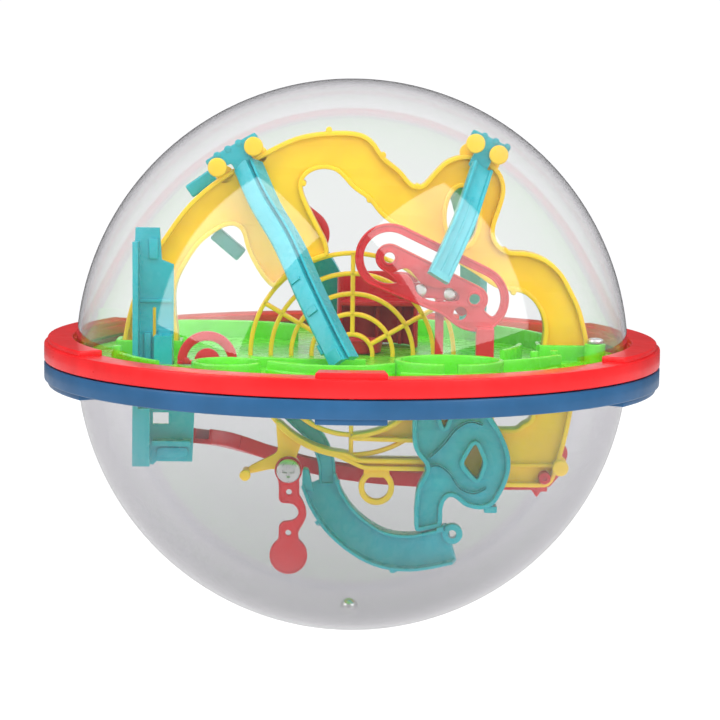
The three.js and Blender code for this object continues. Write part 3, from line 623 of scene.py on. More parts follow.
def level_plate(loops, bottom, top, edge=0.22):
    """A plate in X and Y, between two heights, from closed outlines; the inner ones are holes."""
    curve = bpy.data.curves.new("plate", "CURVE")
    curve.dimensions = "2D"
    curve.fill_mode = "BOTH"
    curve.extrude = ((top - bottom) / 2 - edge) * MM
    curve.bevel_depth = edge * MM
    curve.bevel_resolution = 1
    curve.offset = -edge * MM
    for loop in loops:
        spline = curve.splines.new("POLY")
        spline.points.add(len(loop) - 1)
        flat = [value for x, y in loop for value in (x * MM, y * MM, 0, 1)]
        spline.points.foreach_set("co", flat)
        spline.use_cyclic_u = True
    holder = placed("plate", curve)
    mesh = evaluated(holder)
    bpy.data.objects.remove(holder)
    mesh.transform(Matrix.Translation((0, 0, (bottom + top) / 2 * MM)))
    return mesh


def flat_plate(loops, front, back, edge=0.22):
    """A plate in X and Z, between two depths in Y."""
    mesh = level_plate(loops, -back, -front, edge)
    mesh.transform(Matrix.Rotation(math.pi / 2, 4, "X"))
    return mesh


def carried(section, centres, across, up, closed=False):
    """A section carried along a line in space; its points are distances across and up."""
    section = np.asarray(section, float)
    sideways = section[None, :, :1] * across[:, None, :]
    points = centres[:, None, :] + sideways + section[None, :, 1:] * up[:, None, :]
    count, size = len(centres), len(section)
    faces = []
    for i in range(count if closed else count - 1):
        for j in range(size):
            k, after = (j + 1) % size, (i + 1) % count
            faces.append((i * size + j, i * size + k, after * size + k, after * size + j))
    if not closed:
        faces += [tuple(range(size))[::-1], tuple((count - 1) * size + j for j in range(size))]
    mesh = bpy.data.meshes.new("carried")
    mesh.from_pydata((points.reshape(-1, 3) * MM).tolist(), [], faces)
    work = bmesh.new()
    work.from_mesh(mesh)
    bmesh.ops.recalc_face_normals(work, faces=work.faces)
    work.to_mesh(mesh)
    work.free()
    return mesh


def inward(line, closed=True):
    """Unit vectors to the left of a line in a plane."""
    if closed:
        ahead = np.roll(line, -1, 0) - np.roll(line, 1, 0)
    else:
        ahead = np.gradient(line, axis=0)
    ahead /= np.linalg.norm(ahead, axis=1)[:, None]
    return np.stack([-ahead[:, 1], ahead[:, 0]], axis=1)


def upright(points):
    """Points of a plane drawing stood up into X and Z."""
    return np.stack([points[:, 0], np.zeros(len(points)), points[:, 1]], axis=1)


RIM_WIDTH = 1.4
RIM_HALF = 4


def rim_wall(line, front=-RIM_HALF, back=RIM_HALF, width=RIM_WIDTH):
    """A wall with rounded edges along the inside of a closed outline."""
    corners = [(0, front), (width, front), (width, back), (0, back)]
    sideways = upright(inward(line))
    depth = np.tile([0.0, 1.0, 0.0], (len(line), 1))
    return carried(rounded(corners, 0.45), upright(line), sideways, depth, closed=True)


def rimmed_plate(line, holes=(), floor=1.0, rim=RIM_HALF, middle=0.0):
    """A plate with a raised rim on both faces round its outline and its holes."""
    walls = [rim_wall(line, middle - rim, middle + rim)]
    walls += [rim_wall(hole[::-1], middle - rim, middle + rim) for hole in holes]
    return merged(flat_plate([line, *holes], middle - floor, middle + floor), *walls)


def disc(x, z, radius, front, back, edge=0.3):
    """A short round boss along Y."""
    return flat_plate([arc_line(x, z, radius, 0, 352.5, 0.5)], front, back, edge)


# %% [markdown]
# ## The round web
# The web is a rule: circles at even spacing, crossed by spokes. Geometry Nodes make one half from arcs
# that are instanced on points and scaled by their index, so each circle is one step larger than the one
# before it. The wires get their rounded section after the arcs are realised, so it isn't scaled too.

# %% Geometry Nodes helpers and the web
def new_tree(name, sockets):
    """A geometry node tree with named inputs, its input node and its output node."""
    tree = bpy.data.node_groups.new(name, "GeometryNodeTree")
    tree.interface.new_socket("Geometry", in_out="INPUT", socket_type="NodeSocketGeometry")
    for label, kind in sockets:
        tree.interface.new_socket(label, in_out="INPUT", socket_type="NodeSocket" + kind)
    tree.interface.new_socket("Geometry", in_out="OUTPUT", socket_type="NodeSocketGeometry")
    return tree, tree.nodes.new("NodeGroupInput"), tree.nodes.new("NodeGroupOutput")


def finish_tree(tree, given, result, geometry):
    """Ends a tree: its instances made real and its material set."""
    real = tree.nodes.new("GeometryNodeRealizeInstances")
    paint = tree.nodes.new("GeometryNodeSetMaterial")
    tree.links.new(geometry, real.inputs["Geometry"])
    wire(
        tree,
        (real, "Geometry", paint, "Geometry"), (given, "Material", paint, "Material"),
        (paint, "Geometry", result, "Geometry"),
    )


def baked(data, tree, values):
    """The plain mesh that a tree makes from some data with some input values."""
    holder = placed("holder", data)
    modifier = holder.modifiers.new("nodes", "NODES")
    modifier.node_group = tree
    identifiers = {
        item.name: item.identifier for item in tree.interface.items_tree if item.in_out == "INPUT"
    }
    for label, value in values.items():
        modifier[identifiers[label]] = value
    holder.update_tag()
    mesh = evaluated(holder)
    holder.modifiers.remove(modifier)
    bpy.data.objects.remove(holder)
    return mesh


def wire_section(tree, width, depth):
    """A rounded rectangular wire section, from two sockets."""
    bar = tree.nodes.new("GeometryNodeCurvePrimitiveQuadrilateral")
    round_off = tree.nodes.new("GeometryNodeFilletCurve")
    round_off.mode = "POLY"
    round_off.inputs["Count"].default_value = 3
    round_off.inputs["Radius"].default_value = 0.45 * MM
    tree.links.new(width, bar.inputs["Width"])
    tree.links.new(depth, bar.inputs["Height"])
    wire(tree, (bar, "Curve", round_off, "Curve"))
    return round_off.outputs["Curve"]


def web_tree():
    """Circles and spokes of wire in the plane of X and Y, over half a turn."""
    sockets = [
        ("Circles", "Int"), ("Step", "Float"), ("Spokes", "Int"), ("Wire Width", "Float"),
        ("Wire Depth", "Float"), ("Material", "Material"),
    ]
    tree, given, result = new_tree("web", sockets)
    make = tree.nodes.new
    arc = make("GeometryNodeCurveArc")
    arc.inputs["Resolution"].default_value = 72
    arc.inputs["Sweep Angle"].default_value = math.pi
    circle_points = make("GeometryNodeMeshLine")
    circles = make("GeometryNodeInstanceOnPoints")
    index = make("GeometryNodeInputIndex")
    grow = math_node(tree, "ADD")
    grow.inputs[1].default_value = 1
    spoke_points = make("GeometryNodeMeshLine")
    spoke = make("GeometryNodeCurvePrimitiveLine")
    radius = math_node(tree, "MULTIPLY")
    tip = make("ShaderNodeCombineXYZ")
    root = make("ShaderNodeCombineXYZ")
    first, last = math.radians(30), math.radians(150)
    turn = shader_node(tree, "ShaderNodeMapRange", From_Max=2, To_Min=first, To_Max=last)
    turned_by = make("ShaderNodeCombineXYZ")
    spokes = make("GeometryNodeInstanceOnPoints")
    both = make("GeometryNodeJoinGeometry")
    real = make("GeometryNodeRealizeInstances")
    level = make("GeometryNodeSetCurveNormal")
    level.mode = "Z_UP"
    wires = make("GeometryNodeCurveToMesh")
    wires.inputs["Fill Caps"].default_value = True
    for line in (circle_points, spoke_points):
        line.inputs["Offset"].default_value = (0, 0, 0)
    wire(
        tree,
        (given, "Circles", circle_points, "Count"), (given, "Step", arc, "Radius"),
        (circle_points, "Mesh", circles, "Points"), (arc, "Curve", circles, "Instance"),
        (index, "Index", grow, 0), (grow, "Value", circles, "Scale"),
        (given, "Spokes", spoke_points, "Count"), (given, "Step", radius, 0),
        (given, "Circles", radius, 1), (radius, "Value", tip, "X"), (given, "Step", root, "X"),
        (root, "Vector", spoke, "Start"), (tip, "Vector", spoke, "End"),
        (index, "Index", turn, "Value"), (turn, "Result", turned_by, "Z"),
        (spoke_points, "Mesh", spokes, "Points"), (spoke, "Curve", spokes, "Instance"),
        (turned_by, "Vector", spokes, "Rotation"), (circles, "Instances", both, "Geometry"),
        (spokes, "Instances", both, "Geometry"), (both, "Geometry", real, "Geometry"),
        (real, "Geometry", level, "Curve"), (level, "Curve", wires, "Curve"),
    )
    section = wire_section(tree, given.outputs["Wire Width"], given.outputs["Wire Depth"])
    tree.links.new(section, wires.inputs["Profile Curve"])
    finish_tree(tree, given, result, wires.outputs["Mesh"])
    return tree


WEB_CIRCLES = 5
WEB_STEP = 6.3
WEB_RADIUS = WEB_CIRCLES * WEB_STEP
WEB_TREE = web_tree()


def half_web(way):
    """Half of the web, standing above the deck for 1 or hanging below it for -1."""
    values = {
        "Circles": WEB_CIRCLES, "Step": WEB_STEP * MM, "Spokes": 3, "Wire Width": 1.4 * MM,
        "Wire Depth": 2.4 * MM, "Material": PLATE_YELLOW,
    }
    mesh = baked(bpy.data.meshes.new("empty"), WEB_TREE, values)
    mesh.transform(Matrix.Rotation(way * math.pi / 2, 4, "X"))
    return mesh


web_check = half_web(1)
web_corners = np.array([vertex.co for vertex in web_check.vertices]) / MM
print("half web", len(web_check.polygons), "faces,", web_corners.min(0).round(1), web_corners.max(0).round(1))

# %% [markdown]
# ## The yellow arch
# The upper plate is one moulding: a thin floor with a rim, the half web, small nubs on its edge and
# pins with wide heads that carry the chutes. The pins and nubs repeat, so Geometry Nodes set a turned
# pin on points.

# %% Pins on points
def on_points_tree():
    """A tree that puts one object on every vertex, turned and sized alike."""
    sockets = [
        ("Piece", "Object"), ("Turn", "Vector"), ("Size", "Float"), ("Material", "Material"),
    ]
    tree, given, result = new_tree("on_points", sockets)
    make = tree.nodes.new
    piece = make("GeometryNodeObjectInfo")
    spread = make("GeometryNodeInstanceOnPoints")
    wire(
        tree,
        (given, "Piece", piece, "Object"), (given, "Geometry", spread, "Points"),
        (piece, "Geometry", spread, "Instance"), (given, "Turn", spread, "Rotation"),
        (given, "Size", spread, "Scale"),
    )
    finish_tree(tree, given, result, spread.outputs["Instances"])
    return tree


ON_POINTS = on_points_tree()
TOWARDS_FRONT = (math.pi / 2, 0, 0)
DOWNWARDS = (math.pi, 0, 0)
UPWARDS = (0, 0, 0)


def repeated(mesh, places, turn, material, size=1.0):
    """Copies of a mesh at places in millimetres. The mesh stands on +Z before it is turned."""
    piece = placed("repeated", mesh)
    points = bpy.data.meshes.new("places")
    points.from_pydata([[value * MM for value in place] for place in places], [], [])
    values = {"Piece": piece, "Turn": turn, "Size": size, "Material": material}
    result = baked(points, ON_POINTS, values)
    bpy.data.objects.remove(piece)
    return result


def turned_mm(profile, sides=32):
    """A turned solid whose profile is in millimetres and runs from the axis back to the axis."""
    return turned([(radius * MM, height * MM) for radius, height in profile], sides)


def pin_mesh(head, shaft, front, back):
    """A moulded pin: a domed head in front of a shaft. Its length runs along Z, front end up."""
    top = rounded([(head - 0.2, back), (head, front), (0, front + 0.25)], 0.7, 4, closed=False)
    profile = [(0, -1), (shaft, -1), (shaft, back), *top]
    return turned_mm(profile, 40)


PIN_FRONT = 9.35
PIN_BACK = 7.4
PIN = pin_mesh(3.0, 1.9, PIN_FRONT, PIN_BACK)
NUB = turned_mm([(0, -4), *rounded([(0.95, -4), (0.95, 4), (0, 4.05)], 0.4, 3, closed=False)], 16)
SEAT_INSET = 0.955
LEFT_PINS = [(-41.7, 57.8), (-30.7, 64.3)]
RIGHT_PINS = [(36.8, 66), (43.9, 62.6)]


def beside(points, depth=0.0):
    """Places in X and Z, at a depth in Y."""
    return [(x, depth, z) for x, z in points]


# %% The arch
ARCH = outline(
    [(73, -0.2)],
    smooth_line(
        [(73, 6), (70.6, 15), (68, 20.5), (64.5, 26.5), (59.5, 30.8), (53.5, 32.8), (47.8, 33), (44.4, 35.3),
         (43.3, 39.5), (45.3, 46), (46.6, 52), (44.6, 57.8), (39, 61.5), (33, 62.4), (27.5, 60.4)]
    ),
    smooth_line([(23.3, 55.7), (20.6, 52.6), (17.8, 53.2), (14.7, 57.1), (10.6, 60.2)]),
    smooth_line(
        [(8.4, 62.2), (6, 66.2), (1.3, 68.8), (-7.9, 69), (-18, 67.2), (-28.1, 62.3), (-41.5, 54.4),
         (-50.7, 46.5), (-57.8, 37), (-64, 27), (-68.5, 15.4), (-71, 4), (-71.5, -0.2)]
    ),
    smooth_line(
        [(-54, -0.2), (-53.8, 6), (-54.6, 12), (-54.6, 20), (-52.2, 26.2), (-47.6, 33.4), (-43.6, 37)]
    ),
    [(-40.2, 39.2), (-36.8, 40.2)],
    smooth_line([(-34.2, 38.4), (-32.8, 32.4), (-28.7, 24.9), (-25, 20.6)]),
    arc_line(0, 0, WEB_RADIUS, 140, 103),
    smooth_line([(-8.2, 35.4), (-15, 48.6), (-15.8, 54), (-12.7, 56.8), (-9.6, 57.6), (-5.6, 57.1)]),
    smooth_line(
        [(-3.1, 54.6), (-0.3, 51.4), (4.3, 48.4), (6.3, 45.8), (10, 42), (22, 35), (37.3, 26), (43.9, 21.6),
         (49.5, 20.5)]
    ),
    smooth_line([(52.6, 20.2), (56, 17.2), (58.3, 13.4), (59.3, 8.8), (58.8, 4), (58.5, -0.2)]),
)
turns = np.radians(np.arange(0, 360, 6))
ARCH_HOLE = np.stack([33.4 + 4.8 * np.cos(turns), 43.4 + 9 * np.sin(turns)], axis=1)
ARCH_NUBS = [(-7.9, 69.4), (8.8, 61.9), (19.5, 52.4), (-15.6, 53), (4.8, 48.2), (46.8, 33), (49.5, 20.3)]
pin_seats = [disc(x * SEAT_INSET, z * SEAT_INSET, 2.8, -1, 1) for x, z in LEFT_PINS + RIGHT_PINS]
arch = merged(
    rimmed_plate(ARCH, [ARCH_HOLE]),
    half_web(1),
    repeated(PIN, beside(LEFT_PINS + RIGHT_PINS), TOWARDS_FRONT, PLATE_YELLOW),
    repeated(NUB, beside(ARCH_NUBS), TOWARDS_FRONT, PLATE_YELLOW),
    *pin_seats,
)
show("yellow_arch", arch, PLATE_YELLOW, "yellow_plastic", "upper_arch")

# %% [markdown]
# ## The yellow lower plate
# Under the deck hang the other half of the web, a straight track, the right-hand panel and a hoop that
# the ball drops through. A boss carries the swinging arm.

# %% The lower plate
ARM_PIVOT = (-19.2, -35.4)
HOOP = (8.1, -41.6)
RED_PIN = (60.3, -37.5)
PLATE_TOP = -2.8
LOWER = outline(
    arc_line(0, 0, WEB_RADIUS + 0.7, 222, 262),
    [(4, -35.8), (24, -35.9)],
    smooth_line([(28, -37.4), (34, -40), (40, -40.6)]),
    [(61.4, -40.6)],
    smooth_line([(63.4, -38.4), (66.8, -26), (69.2, -13), (70.6, PLATE_TOP)]),
    [(56.5, PLATE_TOP), (55.8, -19.6), (53.6, -20.6), (52.6, -20.6), (52.2, -22.4), (44.4, -22.4)],
    [(43.4, PLATE_TOP), (24.6, PLATE_TOP)],
    arc_line(0, 0, 4 * WEB_STEP - 0.7, -7, -90),
    [(-0.5, -26.6), (20, -27), (25.4, -27.2), (27.6, -29.6), (25.4, -32.2), (2, -32.2)],
    arc_line(0, 0, WEB_RADIUS - 1.2, 268, 222),
    ease=3,
)
CORNER = outline(
    [(-23.5, -21), (-22.6, -31), (-32.4, -35.8), (-32.2, -38), (-24, -36), (-19, -38), (-15, -27)], ease=3
)
hoop_turns = arc_line(*HOOP, 5.6, 0, 354, 0.6)
lower = merged(
    rimmed_plate(LOWER),
    flat_plate([CORNER], -1, 1),
    rim_wall(hoop_turns, -1.6, 1.6, 1.8),
    flat_plate([outline([(4, -38.4), (12.2, -38.4), (12, -35), (4.2, -35)], ease=1)], -1.5, 1.5),
    flat_plate([outline([(43, -34.6), (64, -34.6), (64, -33.4), (43, -33.4)], ease=1)], -2.4, 2.4),
    disc(*ARM_PIVOT, 3.4, -6, 2),
    half_web(-1),
    repeated(pin_mesh(2.6, 1.7, PIN_FRONT, PIN_BACK), [(64.8, 0, -33.6)], TOWARDS_FRONT, PLATE_YELLOW),
    repeated(pin_mesh(1.8, 1.2, PIN_FRONT, PIN_BACK), [(-32.6, 0, -37)], TOWARDS_FRONT, PLATE_YELLOW),
    disc(64.8, -33.6, 2.6, -1, 1),
)
show("yellow_lower_plate", lower, PLATE_YELLOW, "yellow_plastic", "lower_plate")

# %% [markdown]
# ## Channels
# The ball runs in channels: a floor between two low walls. A section is carried along a smooth line in
# space, and it faces either away from the ball's centre or towards the front. Doing it this way keeps
# the wall thickness even round every bend.

# %% Tracks along a line in space
def track_line(points, outward, step=1.0):
    """The centres of a track and its directions across and up."""
    centres = smooth_line(points, step)
    ahead = np.gradient(centres, axis=0)
    ahead /= np.linalg.norm(ahead, axis=1)[:, None]
    across = np.cross(outward(centres), ahead)
    across /= np.linalg.norm(across, axis=1)[:, None]
    return centres, across, np.cross(ahead, across)


def from_centre(centres):
    return centres / np.linalg.norm(centres, axis=1)[:, None]


def towards_front(centres):
    return np.tile([0.0, -1.0, 0.0], (len(centres), 1))


def upwards(centres):
    return np.tile([0.0, 0.0, 1.0], (len(centres), 1))


def turned_left(centres):
    return from_centre(centres) + np.array([-0.45, 0, 0])


def channel(width, height, floor=1.6, wall=1.2):
    """A channel section with rounded walls."""
    half = width / 2
    corners = [
        (-half, 0), (half, 0), (half, height), (half - wall, height), (half - wall, floor),
        (wall - half, floor), (wall - half, height), (-half, height),
    ]
    return rounded(corners, 0.4)


def stretch(line, start, end, section):
    """A section carried along part of a track, between two fractions of its length."""
    low, high = round(start * len(line[0])), round(end * len(line[0]))
    centres, across, up = (part[low:high] for part in line)
    return carried(section, centres, across, up)


def carved(mesh, tool):
    """A mesh with another one cut out of it."""
    holders = [placed("carved", data) for data in (mesh, tool)]
    cut = holders[0].modifiers.new("cut", "BOOLEAN")
    cut.object = holders[1]
    cut.solver = "EXACT"
    result = evaluated(holders[0])
    for holder in holders:
        bpy.data.objects.remove(holder)
    return result


def boss(x, z, radius, front, back):
    """A plain round pin along Y, to cut with."""
    pin = turned_mm([(0, -back), (radius, -back), (radius, -front), (0, -front)], 32)
    pin.transform(Matrix.Translation((x * MM, 0, z * MM)) @ Matrix.Rotation(math.pi / 2, 4, "X"))
    return pin


def boss_up(x, y, radius, bottom, top):
    """A plain round pin along Z, to cut with."""
    pin = turned_mm([(0, bottom), (radius, bottom), (radius, top), (0, top)], 32)
    pin.transform(Matrix.Translation((x * MM, y * MM, 0)))
    return pin


def slab(low, high, edge=0.3):
    """A small block with rounded edges."""
    (x, y, bottom), (right, back, top) = low, high
    corners = bar(x, y, right, back, 0.5)
    return level_plate([corners], bottom, top, edge)


def ribbon(line, width):
    """A closed outline at an even distance on both sides of a line."""
    line = np.asarray(line, float)
    aside = inward(line, closed=False) * width / 2
    return np.vstack([line - aside, (line + aside)[::-1]])


# %% [markdown]
# ## Front chutes
# Two teal chutes hang from the arch's pins by hooked heads and lead down to the deck. The left one
# turns its broad wall to the front and carries a stepped flange and small stops. The right one is a
# shallow channel.

# %% Hooked heads and front chutes
def hook_bar(pins, side):
    """The bar that hooks over two pins, and the neck below it."""
    start, end = np.array(pins, float)
    ahead = (end - start) / np.linalg.norm(end - start)
    out = np.array([-ahead[1], ahead[0]])
    reach = [
        (start, -2.4, 3.6), (start, -2.4, -1), (start, side[0], -1), (start, side[0], -7),
        (start, side[1], -7), (start, side[1], -1), (end, 2.4, -1), (end, 2.4, 3.6),
    ]
    corners = [origin + ahead * a + out * o for origin, a, o in reach]
    bar = flat_plate([outline(corners, step=0.5, ease=2)], -7, -4.4)
    stops = [start + ahead * a + out * 3.2 for a in (1.6, 5.4, 9.2)]
    holes = merged(*[boss(x, z, 2.2, -9, -2) for x, z in pins])
    lugs = [disc(x, z, 1.1, -7.2, -4.2) for x, z in stops]
    return merged(carved(bar, holes), *lugs)


left_line = track_line(
    [(-34.2, -6.6, 58.6), (-28.9, -16, 48.5), (-21.2, -27, 37), (-14.4, -38, 23.6), (-8, -46, 11.6),
     (-3.4, -50, 3.4)],
    turned_left,
)
stepped = [
    (-3.4, -1), (1.6, -1), (1.6, -5.6), (3.6, -5.6), (3.6, -0.6), (3.1, -0.2), (2.7, -0.6), (2.7, -1.4),
    (2.2, -1.4), (2.2, 0.6), (1.5, 1), (-2.7, 1), (-3.4, 0.4),
]
left_chute = merged(
    hook_bar(LEFT_PINS, (4.2, 10.6)),
    stretch(left_line, 0, 1, stepped),
    stretch(left_line, 0.60, 0.63, bar(-2.6, 0.8, 0.8, 1.5, 0.3)),
    stretch(left_line, 0.74, 0.78, bar(-1.8, 0.8, 1.6, 1.6, 0.3)),
    stretch(left_line, 0.88, 0.93, rounded([(-4.1, -0.8), (-3.2, -0.8), (-3.2, 1.2), (-4.1, 0.9)], 0.3)),
    stretch(left_line, 0.93, 1, rounded([(-2.9, 0.8), (1.8, 0.8), (1.8, 1.9), (-2.9, 1.5)], 0.3)),
)
show("hooked_left_chute", left_chute, TRACK_TEAL, "teal_plastic", "front_left_chute")

right_line = track_line(
    [(38.4, -6.6, 58.4), (35.6, -13, 50.5), (32.6, -20.4, 42.7), (28.8, -27.2, 34.8), (24.8, -31.5, 26.6)],
    from_centre,
)
right_chute = merged(
    hook_bar(RIGHT_PINS, (1, 6.8)),
    stretch(right_line, 0, 1, channel(7, 2.4, 1.4, 1.1)),
    stretch(right_line, 0.3, 1, rounded([(-0.4, 1.2), (0.4, 1.2), (0.3, 1.8), (-0.3, 1.8)], 0.2)),
    stretch(right_line, 0.94, 1, bar(-3.4, 0.2, 3.4, 2.3, 0.4)),
)
show("hooked_right_chute", right_chute, TRACK_TEAL, "teal_plastic", "front_right_chute")

# %% [markdown]
# ## Rear chutes and clips
# Behind the arch two deeper channels run down to the back of the deck. Two short clips sit on the
# arch's back.

# %% Rear chutes and clips
REAR_LINES = {
    "left": ([(-34, 8, 56), (-28, 20, 47), (-18.6, 30.5, 35), (-8.6, 38, 20.5), (-1, 42, 2)], 9.4),
    "right": ([(30, 8, 54), (34, 20, 45), (37, 31, 32), (38, 40, 18), (38, 44, 3)], 8.4),
}
for side, (points, width) in REAR_LINES.items():
    line = track_line(points, from_centre)
    rungs = [
        stretch(line, at, at + 0.03, rounded([(-width / 2 + 1, 1), (width / 2 - 1, 1), (0, 1.9)], 0.3))
        for at in (0.25, 0.5, 0.75)
    ]
    body = merged(stretch(line, 0, 1, channel(width, 4, 1.5)), *rungs)
    show("deep_chute_" + side, body, TRACK_TEAL, "teal_plastic", f"rear_{side}_chute")
for side in ("outer", "inner"):
    clip = eased_node("arch_clip_" + side, 0.7 * MM, 4)
    show("back_clip_" + side, clip, TRACK_TEAL, "teal_plastic", "arch_clip_" + side)

# %% [markdown]
# ## Left bracket
# A tall teal bracket passes through the deck: a stepped face with a slit above, and a box with a window
# below. Raised pads, a rail and a shelf stiffen it.

# %% Left bracket
bracket = merged(
    eased_node("left_bracket", 0.35 * MM, 3),
    slab((-62.8, -22.2, -0.4), (-60.6, -20.2, 8.4)),
    slab((-58.6, -22.2, -0.4), (-54.6, -20.2, 9.6)),
    slab((-65.4, -21.4, 17.4), (-54.4, -20.2, 18.6)),
    slab((-61.5, -21.6, 30.6), (-58.6, -19.6, 36.8)),
    flat_plate([outline([(-59, -29.6), (-49.6, -29.6), (-49.2, -26.6), (-59, -26.6)], ease=2)], -21.6, -20.2),
)
show("stepped_bracket", bracket, TRACK_TEAL, "teal_plastic", "left_bracket")

# %% [markdown]
# ## Tracks under the deck
# The wide U-shaped track and the figure-loop track lie below. The U is a channel that faces the front,
# with a flat branch, a prong and an eyelet. The figure loop is a plate whose rims follow its own outline
# and its two openings.

# %% Lower tracks
u_line = track_line(
    [(-9.8, 7, -40.6), (-7.2, 6, -46.6), (-2.8, 4, -52.4), (3.6, 1, -57.2), (11, -2.6, -60),
     (20, -6.4, -60), (31.6, -9.6, -57)],
    towards_front,
)
branch_line = smooth_line([(-21, -17.4), (-16, -22), (-10.8, -27.2), (-7.8, -34), (-7.2, -42)])
branch = outline(ribbon(branch_line, 5.3), step=0.7, ease=3)
PRONG = outline([(-15.2, -43), (-11.4, -44), (-13.2, -36.6), (-15, -36.4)], step=0.5, ease=2)
EYE = (31.5, -53.8)
lower_track = merged(
    stretch(u_line, 0, 1, channel(11.6, 6, 2, 1.0)),
    stretch(u_line, 0.03, 0.07, bar(4.6, 5.4, 6.3, 7, 0.4)),
    stretch(u_line, 0.2, 0.24, bar(-6.7, 1, -5.2, 5.8, 0.4)),
    stretch(u_line, 0.66, 0.7, bar(-6.6, 1, -5.2, 5.8, 0.4)),
    stretch(u_line, 0.94, 1, bar(5, 0.2, 6.5, 6.2, 0.4)),
    flat_plate([branch], 5, 7.4),
    rim_wall(branch, 4.2, 7.4, 0.9),
    flat_plate([PRONG], 2, 6.6, 0.4),
    carved(disc(*EYE, 3.2, -13.6, -10.4, 0.5), boss(*EYE, 1.3, -15, -9)),
)
show("u_track", lower_track, TRACK_TEAL, "teal_plastic", "lower_track")

FIGURE = outline(
    [(19.9, -53.6), (28.4, -51.8)],
    smooth_line([(28.4, -48), (28.6, -44.6), (31, -41.8), (35.6, -45.4), (41.2, -46.3)]),
    [(44.6, -44.6)],
    smooth_line([(47.8, -38.5), (49.2, -32.8), (48.3, -27), (45.6, -21.4), (42, -16), (38, -10)]),
    [(35, -5), (20, -5)],
    smooth_line([(18.8, -18), (19, -26), (20.4, -29.4), (23.6, -33.4), (21.6, -37), (20.2, -40.4)]),
    [(19.7, -46)],
    step=0.8,
)
KITE = outline([(38.2, -25.4), (40.9, -31.4), (39, -37.2), (34.4, -32)], step=0.6)
WEDGE = outline([(26.4, -15), (31, -15), (28.6, -21.4)], step=0.6)
crossing = smooth_line([(22.6, -33.8), (26.6, -32.6), (30.2, -34.8), (33.6, -39.6), (38, -41.2), (42, -39.4)])
upper_turn = smooth_line([(24, -30.4), (28.6, -26), (32, -21.6), (36.4, -19), (40.6, -20)])
figure_loop = merged(
    rimmed_plate(FIGURE, [KITE, WEDGE], rim=3, middle=-10),
    rim_wall(outline(ribbon(crossing, 0.9), step=0.5, ease=1), -12.6, -10, 0.3),
    rim_wall(outline(ribbon(upper_turn, 0.9), step=0.5, ease=1), -12.6, -10, 0.3),
    slab((41.2, -12.8, -47.2), (45.2, -7.2, -45.2)),
)
show("figure_loop", figure_loop, TRACK_TEAL, "teal_plastic", "figure_loop_track")

# %% [markdown]
# ## The red loop rail
# A long red loop lies in front of the web. It is a flat band with two lobes that hold round eyes, and a
# wavy slot between them. Thin raised lips run round its outline. A strap behind it takes two screws.

# %% Loop rail and strap
LOOP_A = (10.9, 32)
LOOP_B = (36.7, 19.8)
LOOP_FRONT = -23.4
LOOP_BACK = -20.8
LOOP_SCREWS = [(20.4, 22), (29.4, 21)]
tilt = math.degrees(math.atan2(LOOP_B[1] - LOOP_A[1], LOOP_B[0] - LOOP_A[0])) + 90
LOOP = outline(
    arc_line(*LOOP_A, 10.4, tilt, tilt + 165),
    smooth_line([(16.9, 19), (22.5, 16.8), (26.3, 15.4)]),
    arc_line(*LOOP_B, 9.8, tilt + 165, tilt + 210),
    arc_line(*LOOP_B, 10.4, tilt + 215, tilt + 360),
    step=0.7,
)
LOOP_SLOT = outline(
    arc_line(*LOOP_A, 7.8, tilt, tilt + 205, 0.7),
    [(13.6, 24.4)],
    arc_line(*LOOP_A, 4.3, tilt + 190, tilt, 0.7),
    arc_line(*LOOP_B, 4.1, tilt, tilt - 115, 0.7),
    arc_line(*LOOP_B, 7.8, tilt - 110, tilt, 0.7),
    step=0.6, ease=2,
)
WAVE = outline(
    smooth_line([(11.8, 27.4), (15.9, 29), (18.3, 27.1), (20.6, 24.4), (25.3, 22.9)]),
    [(29.5, 23.2), (32.2, 21.2)],
    smooth_line([(32, 19.3), (26.7, 18.9), (23.2, 19.2), (19.4, 21.3), (18.4, 24.4), (16.4, 27)]),
    step=0.6, ease=2,
)
eyes = [arc_line(*LOOP_A, 1.65, 0, 345, 0.4), arc_line(*LOOP_B, 1.6, 0, 345, 0.4)]
eyes.append(arc_line(32.4, 15.4, 2, 0, 345, 0.4))
loop_rail = merged(
    flat_plate([LOOP, LOOP_SLOT, WAVE, *eyes], LOOP_FRONT + 0.4, LOOP_BACK, 0.3),
    rim_wall(LOOP, LOOP_FRONT, LOOP_BACK, 0.8),
    rim_wall(LOOP_SLOT[::-1], LOOP_FRONT + 0.1, LOOP_BACK, 0.6),
    rim_wall(eyes[0][::-1], LOOP_FRONT, LOOP_BACK, 0.8),
    rim_wall(eyes[1][::-1], LOOP_FRONT, LOOP_BACK, 0.8),
    slab((37.2, -26.4, -0.2), (42.6, -20.8, 11.4)),
    slab((34, -26.4, -0.2), (42.6, -19, 1.6)),
)
show("twin_eye_rail", loop_rail, RAIL_RED, "red_plastic", "loop_rail")

strap_line = smooth_line([(13, 21.4), (20.4, 22), (29.4, 21), (34.5, 15)])
strap_holes = [arc_line(x, z, 1.2, 0, 345, 0.4) for x, z in LOOP_SCREWS]
strap = merged(
    flat_plate([outline(ribbon(strap_line, 4.6), ease=3), *strap_holes], -19.6, -17.6, 0.3),
    slab((25, -19.6, -0.2), (27.6, -17.6, 19.6)),
)
show("screwed_strap", strap, RAIL_RED, "red_plastic", "loop_rail_strap")

# %% [markdown]
# ## Other red pieces
# A small double gate stands on the deck. A half-round tower, a link and a cup stand behind the web, and
# a long rail crosses below the deck to a peg on the yellow plate.

